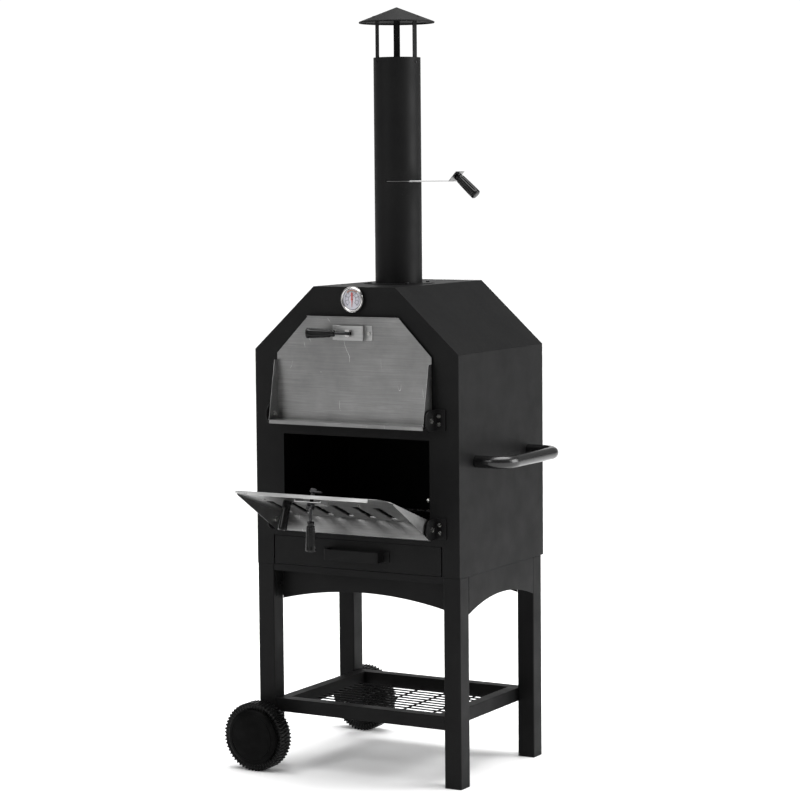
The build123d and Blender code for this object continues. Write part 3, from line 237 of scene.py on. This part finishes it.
def zinc_plate():
    """Dulled zinc on screws, nuts and pins, slightly warm where it is stained."""
    s = Shader("zinc_plate", (0.40, 0.40, 0.39), 0.28, metallic=1.0)
    stain = s.noise(160, 4, 0.6)
    s.feed(s.blend(s.span(stain, 0.35, 0.7), (0.42, 0.42, 0.41), (0.24, 0.24, 0.22)), "Base Color")
    s.feed(s.span(s.noise(420, 3), 0.3, 0.7, 0.2, 0.38), "Roughness")
    s.feed(s.bump(s.noise(900, 2), 0.1, 0.0002), "Normal")
    return s.material


def chrome_plate():
    """Satin chrome with a slight haze."""
    s = Shader("chrome_plate", (0.42, 0.42, 0.42), 0.16, metallic=1.0)
    haze = s.noise(90, 3)
    s.feed(s.blend(s.span(haze, 0.3, 0.7), (0.46, 0.45, 0.45), (0.36, 0.355, 0.35)), "Base Color")
    s.feed(s.span(s.noise(300, 3), 0.3, 0.7, 0.12, 0.24), "Roughness")
    return s.material


def black_oxide_steel():
    """Black-oxidised steel rod, worn a little brighter in patches."""
    s = Shader("black_oxide_steel", (0.03, 0.03, 0.03), 0.36, metallic=0.9)
    worn = s.span(s.noise(240, 4, 0.6), 0.58, 0.75)
    s.feed(s.blend(worn, (0.022, 0.022, 0.023), (0.11, 0.11, 0.11)), "Base Color")
    s.feed(s.span(s.noise(500, 2), 0.3, 0.7, 0.28, 0.42), "Roughness")
    s.feed(s.bump(s.noise(700, 2), 0.1, 0.0002), "Normal")
    return s.material


def moulded_plastic(name, color, low, high, grain, grain_strength, specular):
    """Moulded black plastic: a fine spark-eroded grain, with sheen that varies where it is handled."""
    s = Shader(name, color, (low + high) / 2, specular=specular)
    handled = s.noise(45, 4, 0.6)
    lighter = tuple(c * 1.7 + 0.002 for c in color)
    s.feed(s.blend(s.span(handled, 0.4, 0.75), color, lighter), "Base Color")
    s.feed(s.span(handled, 0.3, 0.7, low, high), "Roughness")
    s.feed(s.bump(s.noise(grain, 2), grain_strength, 0.0003), "Normal")
    return s.material


def dial_enamel():
    """Pale enamel of the thermometer's dial."""
    s = Shader("dial_enamel", (0.70, 0.69, 0.76), 0.4)
    s.feed(s.blend(s.span(s.noise(110, 3), 0.3, 0.7), (0.72, 0.71, 0.78), (0.64, 0.63, 0.71)), "Base Color")
    s.feed(s.span(s.noise(300, 2), 0.3, 0.7, 0.34, 0.46), "Roughness")
    return s.material


def ink(name, color):
    """Printed ink or lacquer, slightly uneven in its cover."""
    s = Shader(name, color, 0.45)
    thinner = tuple(min(1.0, c * 1.25 + 0.01) for c in color)
    s.feed(s.blend(s.span(s.noise(400, 3), 0.4, 0.8), color, thinner), "Base Color")
    s.feed(s.span(s.noise(500, 2), 0.3, 0.7, 0.38, 0.52), "Roughness")
    return s.material


def window_glass():
    """Thin clear window over the dial."""
    s = Shader("window_glass", (1.0, 1.0, 1.0), 0.02)
    s.put("Transmission Weight", 1.0)
    s.put("IOR", 1.45)
    s.feed(s.span(s.noise(120, 3), 0.5, 0.8, 0.0, 0.05), "Roughness")
    return s.material


def cordierite():
    """Pressed cordierite: pale buff with speckles and open grain."""
    s = Shader("cordierite", (0.52, 0.44, 0.33), 0.9, specular=0.3)
    speck = s.span(s.noise(700, 2), 0.62, 0.7)
    cloud = s.blend(s.span(s.noise(9, 4), 0.3, 0.7), (0.56, 0.48, 0.37), (0.46, 0.38, 0.28))
    s.feed(s.blend(speck, cloud, (0.24, 0.19, 0.13)), "Base Color")
    s.feed(s.span(s.noise(200, 3), 0.3, 0.7, 0.82, 0.96), "Roughness")
    s.feed(s.bump(s.noise(420, 4, 0.65), 0.5, 0.0008), "Normal")
    return s.material


materials = {
    "powder_coat": powder_coat("powder_coat", 0.44, 0.56, 0.09),
    "gloss_coat": powder_coat("gloss_coat", 0.2, 0.28, 0.45),
    "stainless": brushed_stainless("brushed_stainless", 0.165, 0.255),
    # A lighter copy of the brushed stainless: painted light on the latch straps, standing in for the extra
    # light they catch, not a different metal.
    "strap_painted_light": brushed_stainless("strap_painted_light", 0.30, 0.42),
    "zinc": zinc_plate(),
    "chrome": chrome_plate(),
    "black_steel": black_oxide_steel(),
    "grip_plastic": moulded_plastic("grip_plastic", (0.002, 0.002, 0.002), 0.14, 0.24, 700, 0.05, 0.16),
    "wheel_plastic": moulded_plastic("wheel_plastic", (0.002, 0.002, 0.002), 0.24, 0.38, 500, 0.1, 0.12),
    "cap_plastic": moulded_plastic("cap_plastic", (0.0015, 0.0015, 0.0015), 0.38, 0.5, 600, 0.1, 0.03),
    "dial_face": dial_enamel(),
    "pointer_red": ink("pointer_red", (0.62, 0.03, 0.02)),
    "dial_glass": window_glass(),
    "cordierite": cordierite(),
    "dark_ink": ink("dark_ink", (0.05, 0.05, 0.09)),
    "orange_ink": ink("orange_ink", (0.45, 0.16, 0.06)),
}


# ---------------------------------------------------------------- the carried-over CAD nodes
# The radius in mm of the worn or folded edges, by the start of a node's name.
ROUNDINGS = {
    "leg": 0.8,
    "leg_plugs": 0.8,
    "shelf_rail": 0.8,
    "panel": 0.5,
    "apron": 0.4,
    "ash_drawer": 0.45,
    "pizza_stone": 1.5,
    "upper_door_panel": 0.35,
    "lower_door_panel": 0.35,
    "upper_latch_strap": 0.4,
    "lower_latch_strap": 0.4,
    "hinge_brackets": 0.5,
    "damper_plate": 0.3,
}
# Its long thin faces beside the openings shade unevenly once its edges are rounded.
SHARP_NODE = "panel_front"

# Nodes whose material differs from the rest of their slot. The latch straps get a lighter copy of the brushed
# stainless: painted light, standing in for the brighter light that the straps catch.
FINISHES = {
    "side_handle": "gloss_coat",
    "upper_latch_strap": "strap_painted_light",
    "lower_latch_strap": "strap_painted_light",
    "frame_fasteners": "black_steel",
    "chimney_fasteners": "black_steel",
    "lower_latch_spindle": "black_steel",
}
MERGE_GAP = 0.01
ROUNDED_ANGLE = 35


def rounding_of(name):
    """The radius in mm of a CAD node's worn or folded edges, or None where they stay sharp."""
    if name == SHARP_NODE:
        return None
    fits = [start for start in ROUNDINGS if name.startswith(start)]
    return ROUNDINGS[max(fits, key=len)] if fits else None


def dress_cad_nodes():
    """Gives each CAD node its material, and rounds its folded and cut edges a little."""
    for part in frame["record"]["subparts"]:
        node = nodes[part["node"]]
        node.data.materials.clear()
        node.data.materials.append(materials[FINISHES.get(part["node"], part["material_slot"])])
        radius = rounding_of(part["node"])
        if radius is None:
            continue
        weld = node.modifiers.new("weld", "WELD")
        weld.merge_threshold = MERGE_GAP * MM
        bevel = node.modifiers.new("rounded_edges", "BEVEL")
        bevel.width = radius * MM
        bevel.segments = 2
        bevel.limit_method = "ANGLE"
        bevel.angle_limit = math.radians(ROUNDED_ANGLE)
        bevel.use_clamp_overlap = True
        node.modifiers.new("shading", "WEIGHTED_NORMAL")


dress_cad_nodes()


# ---------------------------------------------------------------- floor, light and surroundings
FLOOR_HALF = 40
# Each lobe of the room: its direction, where it starts and is full (as cosines), and its strengths.
BACKDROP = ((-0.5, 0.86, -0.06), 0.86, 0.96, 0.33, 1.05)
CEILING = ((0.0, 0.0, 1.0), 0.78, 0.92, 0.0, 3.6)


def make_surroundings():
    """A pale floor, and a room that is bright behind the oven and overhead, and dimmer elsewhere."""
    floor_mesh = bpy.data.meshes.new("floor")
    grid = bmesh.new()
    bmesh.ops.create_grid(grid, x_segments=8, y_segments=8, size=FLOOR_HALF)
    grid.to_mesh(floor_mesh)
    grid.free()
    floor = bpy.data.objects.new("floor", floor_mesh)
    floor.location = (0, 0, cad_box[0].z)
    bpy.context.scene.collection.objects.link(floor)
    s = Shader("floor", (0.86, 0.86, 0.86), 0.7, specular=0.2)
    patches = s.span(s.noise(0.6, 3), 0.3, 0.7)
    s.feed(s.blend(patches, (0.87, 0.87, 0.87), (0.85, 0.85, 0.85)), "Base Color")
    floor_mesh.materials.append(s.material)

    world = bpy.data.worlds.new("studio")
    bpy.context.scene.world = world
    world.use_nodes = True
    tree = world.node_tree
    background = tree.nodes["Background"]
    coordinates = tree.nodes.new("ShaderNodeTexCoord")
    coordinate = coordinates.outputs["Generated"]

    def lobe(direction, edge, core, base, top):
        """A strength that rises smoothly from base to top near one direction of the room."""
        towards = tree.nodes.new("ShaderNodeVectorMath")
        towards.operation = "DOT_PRODUCT"
        towards.inputs[1].default_value = direction
        ramp = tree.nodes.new("ShaderNodeMapRange")
        ramp.interpolation_type = "SMOOTHSTEP"
        set_span(ramp, edge, core, base, top)
        tree.links.new(coordinate, towards.inputs[0])
        tree.links.new(towards.outputs["Value"], ramp.inputs["Value"])
        return ramp.outputs["Result"]

    total = tree.nodes.new("ShaderNodeMath")
    total.operation = "ADD"
    tree.links.new(lobe(*BACKDROP), total.inputs[0])
    tree.links.new(lobe(*CEILING), total.inputs[1])
    tree.links.new(total.outputs["Value"], background.inputs["Strength"])
    background.inputs["Color"].default_value = (1, 1, 1, 1)


def softbox(name, location, target, size, power):
    """A rectangular area light that faces its target."""
    data = bpy.data.lights.new(name, "AREA")
    data.shape = "RECTANGLE"
    data.size, data.size_y = size
    data.energy = power
    lamp = bpy.data.objects.new(name, data)
    lamp.location = location
    lamp.rotation_mode = "QUATERNION"
    lamp.rotation_quaternion = (Vector(target) - Vector(location)).to_track_quat("-Z", "Y")
    bpy.context.scene.collection.objects.link(lamp)


# ---------------------------------------------------------------- detailed pieces
SEAM_GAP = 1e-7


def make_piece(name, vertices, faces, material, body, replaced=(), sharp=40):
    """A mesh from plain lists of points and faces, riding on a body and standing for CAD nodes."""
    mesh = bpy.data.meshes.new(name)
    mesh.from_pydata([tuple(v) for v in vertices], [], faces)
    work = bmesh.new()
    work.from_mesh(mesh)
    bmesh.ops.remove_doubles(work, verts=work.verts, dist=SEAM_GAP)
    bmesh.ops.recalc_face_normals(work, faces=work.faces)
    work.to_mesh(mesh)
    work.free()
    mesh.polygons.foreach_set("use_smooth", [True] * len(mesh.polygons))
    mesh.set_sharp_from_angle(angle=math.radians(sharp))
    mesh.materials.append(material)
    piece = bpy.data.objects.new(name, mesh)
    bpy.context.scene.collection.objects.link(piece)
    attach(piece, body)
    if replaced:
        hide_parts(*replaced)
    return piece


def facing(origin, axis):
    """The matrix that stands a piece made along +Z on `origin`, pointing along `axis`."""
    turn = Vector(axis).to_track_quat("Z", "Y").to_matrix()
    return Matrix.Translation(Vector(origin)) @ turn.to_4x4()


def lathe(profile, steps, placed, shaped=None, closed=True):
    """Turns a profile of (radius, height) in mm about +Z. `shaped` may change each point by its angle."""
    vertices = []
    for step in range(steps):
        angle = 2 * math.pi * step / steps
        for radius, height in profile:
            if shaped:
                radius, height = shaped(radius, height, angle)
            point = Vector((radius * math.cos(angle), radius * math.sin(angle), height)) * MM
            vertices.append(placed @ point)
    count = len(profile)
    spans = count if closed else count - 1
    faces = []
    for step in range(steps):
        here = step * count
        there = (step + 1) % steps * count
        for i in range(spans):
            j = (i + 1) % count
            faces.append((here + i, there + i, there + j, here + j))
    return vertices, faces


def centre_of(node):
    """The middle of a CAD node's box."""
    low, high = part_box(node)
    return (low + high) / 2


def turned_frame(name):
    """A turned CAD node's thin end, axis, length and end radii, all read from its mesh."""
    points = np.array([v.co[:] for v in nodes[name].data.vertices])
    middle = points.mean(0)
    axis = np.linalg.svd(points - middle, full_matrices=False)[2][0]
    along = (points - middle) @ axis
    radii = np.linalg.norm(points - middle - np.outer(along, axis), axis=1)
    end_zone = 3 * MM
    thin = radii[along < along.min() + end_zone].max()
    thick = radii[along > along.max() - end_zone].max()
    if thin > thick:
        axis, along = -axis, -along
        thin, thick = thick, thin
    start = middle + axis * along.min()
    return Vector(start), Vector(axis), float(np.ptp(along)) / MM, thin / MM, thick / MM


TYRE_STEPS_PER_LUG = 8
LUGS = 56
LUG_HALF_SHARE = 0.27
LUG_STEEPNESS = 7
LUG_RISE = 3.2
SHOULDER_RISE = 1.2
WHEEL_BORE_R = 5.3
HUB_R = 15
RIB_COUNT = 8
WHEEL_SHARP = 30
CAP_SHARP = 25
SOFT_SHARP = 50


def lug_share(angle, shift):
    """1 on a lug, 0 between two lugs, at an angle round the tyre."""
    phase = (angle * LUGS / (2 * math.pi) + shift) % 1.0
    return min(1.0, max(0.0, LUG_STEEPNESS * (LUG_HALF_SHARE - abs(phase - 0.5))))


def wheel_sizes(name):
    """The radius of a wheel's tread between its lugs, and half its moulded width, in mm."""
    low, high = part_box(name)
    outer = (high.z - low.z) / 2 / MM
    return outer - LUG_RISE, (high.y - low.y) / 2 / MM - 1


def build_tyre(name, body, outward):
    """A knobbly tyre: two staggered rows of lugs and a ribbed shoulder."""
    placed = facing(centre_of(name), outward)
    tread, half = wheel_sizes(name)

    def knobbly(radius, height, angle):
        share = lug_share(angle, 0.0 if height > 0 else 0.5)
        if abs(height) > 0.7 and radius > tread - 1.5:
            return radius + LUG_RISE * share, height
        if radius > tread - 10 and abs(height) > 1:
            return radius, height + math.copysign(SHOULDER_RISE * share, height)
        return radius, height

    side = [(tread - 19, 0.78), (tread - 12.6, 0.84), (tread - 11.6, 0.76), (tread - 10.6, 0.80),
            (tread - 9.8, 0.80), (tread - 4, 0.84), (tread - 2, 0.88), (tread - 1, 0.95),
            (tread, 0.90), (tread, 0.30), (tread - 0.2, 0.08)]
    front = [(radius, share * half) for radius, share in side]
    back = [(radius, -height) for radius, height in reversed(front)]
    profile = front + [(tread - 1.5, 0.0)] + back
    vertices, faces = lathe(profile, LUGS * TYRE_STEPS_PER_LUG, placed, knobbly)
    make_piece(f"{name}_tyre", vertices, faces, materials["wheel_plastic"], body,
               (name,), WHEEL_SHARP)


def build_web(name, body, outward):
    """The web inside the tyre, with its hub and its stiffening ribs on the side away from the cap."""
    placed = facing(centre_of(name), outward)
    tread, half = wheel_sizes(name)
    web_r = tread - 18.6
    web = [(WHEEL_BORE_R, -half), (HUB_R - 1, -half), (HUB_R, 1 - half), (HUB_R + 1.5, -3),
           (web_r, -2.2), (web_r, 2.2), (HUB_R + 1.5, 3), (HUB_R, 4), (WHEEL_BORE_R, 4)]
    vertices, faces = lathe(web, 96, placed)
    rib_corners = ((HUB_R - 1, 2 - half, 1.3), (web_r + 0.3, 6 - half, 1.3),
                   (web_r + 0.3, -1.5, 1.7), (HUB_R - 1, -1.5, 1.7))
    rib_faces = ((0, 2, 4, 6), (1, 7, 5, 3), (0, 1, 3, 2), (2, 3, 5, 4), (4, 5, 7, 6), (6, 7, 1, 0))
    for rib in range(RIB_COUNT):
        turn = Matrix.Rotation(2 * math.pi * rib / RIB_COUNT, 4, "Z")
        first = len(vertices)
        for radius, height, thick in rib_corners:
            for y in (-thick, thick):
                vertices.append(placed @ turn @ (Vector((radius, y, height)) * MM))
        faces += [tuple(first + corner for corner in face) for face in rib_faces]
    make_piece(f"{name}_web", vertices, faces, materials["wheel_plastic"], body,
               (name,), WHEEL_SHARP)


def build_hubcap(name, body, outward):
    """The domed cap, with one shallow ring groove, as shares of its radius and depth."""
    cap_low, cap_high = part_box(f"{name}_cap")
    edge = (cap_high.z - cap_low.z) / 2 / MM
    depth = (cap_high.y - cap_low.y) / MM
    cap_placed = facing((cap_low + cap_high) / 2, outward)
    shares = [(0, 1.0), (0.2, 0.975), (0.4, 0.9), (0.6, 0.78), (0.76, 0.65), (0.80, 0.61),
              (0.815, 0.5), (0.835, 0.5), (0.85, 0.58), (0.93, 0.50), (0.975, 0.38), (1.0, 0.2),
              (1.0, 0.0), (0.965, 0.0), (0.95, 0.3), (0.6, 0.55), (0.0, 0.78)]
    dome = [(radius * edge, (height - 0.5) * depth) for radius, height in shares]
    vertices, faces = lathe(dome, 128, cap_placed, closed=False)
    make_piece(f"{name}_hubcap", vertices, faces, materials["cap_plastic"], body,
               (f"{name}_cap",), CAP_SHARP)


def build_grip(name, node, body):
    """A tapered moulded grip with a plain collar, shallow flutes and a domed end."""
    start, axis, length, thin, thick = turned_frame(node)
    flutes = 8

    def fluted(radius, height, angle):
        share = height / length
        run = min(1.0, max(0.0, (share - 0.16) / 0.05)) * min(1.0, max(0.0, (0.9 - share) / 0.05))
        groove = (0.5 + 0.5 * math.cos(flutes * angle)) ** 3
        return radius * (1 - 0.11 * run * groove), height

    profile = [(0, 0.3), (thin * 0.6, 0), (thin * 0.9, 0.5), (thin, 2.0), (thin, 0.10 * length),
               (thin - 0.7, 0.115 * length), (thin - 0.7, 0.13 * length), (thin + 0.2, 0.15 * length)]
    for share in (0.17, 0.19, 0.22, 0.3, 0.4, 0.5, 0.6, 0.7, 0.8, 0.86, 0.89, 0.92):
        swell = 0.35 * math.sin(math.pi * share)
        profile.append((min(thick, thin + (thick - thin) * share ** 0.7 + swell), share * length))
    profile += [(thick, 0.95 * length), (thick - 0.4, 0.975 * length), (thick - 1.6, 0.992 * length),
                (thick - 4, length), (0, length)]
    vertices, faces = lathe(profile, 96, facing(start, axis), fluted, closed=False)
    make_piece(name, vertices, faces, materials["grip_plastic"], body, (node,), SOFT_SHARP)


def build_vent_knob():
    """The long vent knob: a waisted barrel with a rounded end, on its narrow neck."""
    start, axis, length, neck, radius = turned_frame("vent_knob")
    foot = 4.2
    profile = [(0, 0), (neck, 0), (neck, foot), (radius - 1.5, foot), (radius, foot + 1.5)]
    for share in (0.2, 0.35, 0.5, 0.65, 0.8, 0.9):
        profile.append((radius - 0.6 * math.sin(math.pi * share), foot + (length - foot) * share))
    profile += [(radius, length - 1.6), (radius - 0.5, length - 0.5), (radius - 1.6, length),
                (radius - 3.4, length), (radius - 4.2, length - 0.8), (0, length - 0.8)]
    vertices, faces = lathe(profile, 96, facing(start, axis), closed=False)
    make_piece("vent_knob_barrel", vertices, faces, materials["grip_plastic"], "vent_shutter",
               ("vent_knob",), SOFT_SHARP)


def ring_sector(placed, inner, outer, from_deg, to_deg, level, thick, steps):
    """A flat arc band, with a thickness, lying square to +Z. Angles run clockwise from the top."""
    vertices, faces = [], []
    section = ((inner, level), (outer, level), (outer, level + thick), (inner, level + thick))
    for step in range(steps + 1):
        angle = math.radians(from_deg + (to_deg - from_deg) * step / steps)
        for radius, height in section:
            point = Vector((radius * math.sin(angle), radius * math.cos(angle), height)) * MM
            vertices.append(placed @ point)
    for step in range(steps):
        a, b = 4 * step, 4 * (step + 1)
        for i in range(4):
            j = (i + 1) % 4
            faces.append((a + i, a + j, b + j, b + i))
    faces.append((0, 3, 2, 1))
    faces.append((4 * steps, 4 * steps + 1, 4 * steps + 2, 4 * steps + 3))
    return vertices, faces


def gather(parts):
    """Joins several (vertices, faces) into one."""
    vertices, faces = [], []
    for more_vertices, more_faces in parts:
        first = len(vertices)
        vertices += more_vertices
        faces += [tuple(first + i for i in face) for face in more_faces]
    return vertices, faces


def digits(text, placed, angle, radius, height, level):
    """Upright figures at a place on the dial, as flat meshes with a small thickness."""
    curve = bpy.data.curves.new("figures", "FONT")
    curve.body = text
    curve.size = height
    curve.align_x = "CENTER"
    curve.align_y = "CENTER"
    curve.extrude = 0.04
    curve.resolution_u = 3
    holder = bpy.data.objects.new("figures", curve)
    bpy.context.scene.collection.objects.link(holder)
    bpy.context.view_layer.update()
    evaluated = holder.evaluated_get(bpy.context.evaluated_depsgraph_get())
    mesh = bpy.data.meshes.new_from_object(evaluated)
    offset = Vector((radius * math.sin(angle), radius * math.cos(angle), level))
    vertices = [placed @ ((v.co + offset) * MM) for v in mesh.vertices]
    faces = [tuple(p.vertices) for p in mesh.polygons]
    bpy.data.objects.remove(holder)
    return vertices, faces


BEZEL_DEPTH = 11
DIAL_LEVEL = 6.62
INK_THICK = 0.1
SCALE_SWEEP = 270
SCALE_STEPS = 40
STEPS_PER_FIGURE = 5
DEGREES_PER_FIGURE = 50
FIGURE_RADIUS = 11.2
FIGURE_HEIGHT = 3.2
POINTER_LEVEL = 7.6
POINTER_THICK = 0.4


def dial_frame():
    """The matrix of the dial: its origin where the bezel meets the panel, +Z out of the oven."""
    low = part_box("thermometer_case")[0]
    dial = centre_of("thermometer_dial")
    seat = Vector((dial.x, low.y + BEZEL_DEPTH * MM, dial.z))
    return Matrix.Translation(seat) @ Matrix.Rotation(math.radians(90), 4, "X")


def build_bezel():
    """The thermometer's case: a double bezel, its stepped back and the probe behind the panel."""
    low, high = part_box("thermometer_case")
    rim = (high.z - low.z) / 2 / MM
    probe = BEZEL_DEPTH - (high.y - low.y) / MM
    case = [(0, probe), (2.4, probe), (3, probe + 1), (3, -12), (3.9, -12), (3.9, 0), (rim - 3, 0),
            (rim - 1, 1.5), (rim - 0.5, 3), (rim - 0.5, 5.6), (rim, 6.2), (rim, 7.4), (rim - 0.5, 8.3),
            (rim - 1.1, 8.2), (rim - 1.2, 8.8), (rim - 1.6, 10.0), (rim - 2.4, 10.8),
            (rim - 3.3, BEZEL_DEPTH), (rim - 4.3, 10.7), (rim - 5.1, 9.8), (rim - 5.5, 9.2),
            (rim - 5.5, 6.0), (0, 6.0)]
    vertices, faces = lathe(case, 128, dial_frame(), closed=False)
    make_piece("thermometer_bezel", vertices, faces, materials["chrome"], "oven",
               ("thermometer_case",), SOFT_SHARP)


def build_dial_print():
    """The dial's graduations, rings and figures in dark ink, and one coloured band."""
    placed = dial_frame()
    marks = []
    for step in range(SCALE_STEPS + 1):
        turn = SCALE_SWEEP * (step / SCALE_STEPS - 0.5)
        major = step % STEPS_PER_FIGURE == 0
        width = 2.2 if major else 1.1
        inner = 13.4 if major else 14.8
        marks.append(ring_sector(placed, inner, 16.6, turn - width, turn + width, DIAL_LEVEL, INK_THICK, 1))
        if major:
            figure = str(DEGREES_PER_FIGURE * step // STEPS_PER_FIGURE)
            marks.append(digits(figure, placed, math.radians(turn), FIGURE_RADIUS, FIGURE_HEIGHT,
                                DIAL_LEVEL + INK_THICK / 2))
    marks.append(ring_sector(placed, 16.8, 17.3, -140, 140, DIAL_LEVEL, INK_THICK, 56))
    marks.append(ring_sector(placed, 8.2, 9.0, -140, 140, DIAL_LEVEL, INK_THICK, 48))
    vertices, faces = gather(marks)
    make_piece("dial_marks", vertices, faces, materials["dark_ink"], "oven")
    vertices, faces = ring_sector(placed, 17.5, 19.4, -42, 38, DIAL_LEVEL, INK_THICK, 20)
    make_piece("dial_bands", vertices, faces, materials["orange_ink"], "oven")


def build_pointer():
    """The red pointer: a blade, wide near its tip, with a long thin tail, on a small hub."""
    placed = dial_frame()
    level = POINTER_LEVEL
    blade = [(0.4, -15.5), (1.1, -2.0), (2.2, 10.0), (2.2, 12.5), (0.0, 15.0), (-2.2, 12.5), (-2.2, 10.0),
             (-1.1, -2.0), (-0.4, -15.5)]
    count = len(blade)
    vertices = [placed @ (Vector((x, y, level + rise)) * MM) for rise in (0, POINTER_THICK) for x, y in blade]
    faces = [tuple(range(count)), tuple(range(2 * count - 1, count - 1, -1))]
    faces += [(i, (i + 1) % count, (i + 1) % count + count, i + count) for i in range(count)]
    hub = [(0.95, level - 0.1), (2.3, level - 0.1), (2.3, level + 0.5), (1.8, level + 0.8),
           (0.95, level + 0.8)]
    vertices, faces = gather([(vertices, faces), lathe(hub, 32, placed)])
    make_piece("thermometer_pointer", vertices, faces, materials["pointer_red"], "needle",
               ("thermometer_needle",))


for wheel, wheel_body, outward in (("wheel_front", "front_wheel", (0, -1, 0)),
                                   ("wheel_back", "back_wheel", (0, 1, 0))):
    build_tyre(wheel, wheel_body, outward)
    build_web(wheel, wheel_body, outward)
    build_hubcap(wheel, wheel_body, outward)
build_grip("upper_latch_grip", "upper_handle_grip", "upper_handle")
build_grip("lower_latch_grip", "lower_handle_grip", "lower_handle")
build_grip("damper_grip", "damper_handle", "damper")
build_vent_knob()
build_bezel()
build_dial_print()
build_pointer()

make_surroundings()
softbox("side_box", (3.6, 1.2, 1.7), (0.2, 0.1, 0.9), (2.2, 2.6), 150)
softbox("front_box", (-1.8, -3.6, 2.6), (0, 0, 0.8), (1.6, 1.6), 50)
softbox("top_box", (0.2, 0.3, 4.2), (0, 0, 0.6), (3.0, 3.0), 120)
bpy.context.scene.view_settings.view_transform = "Standard"
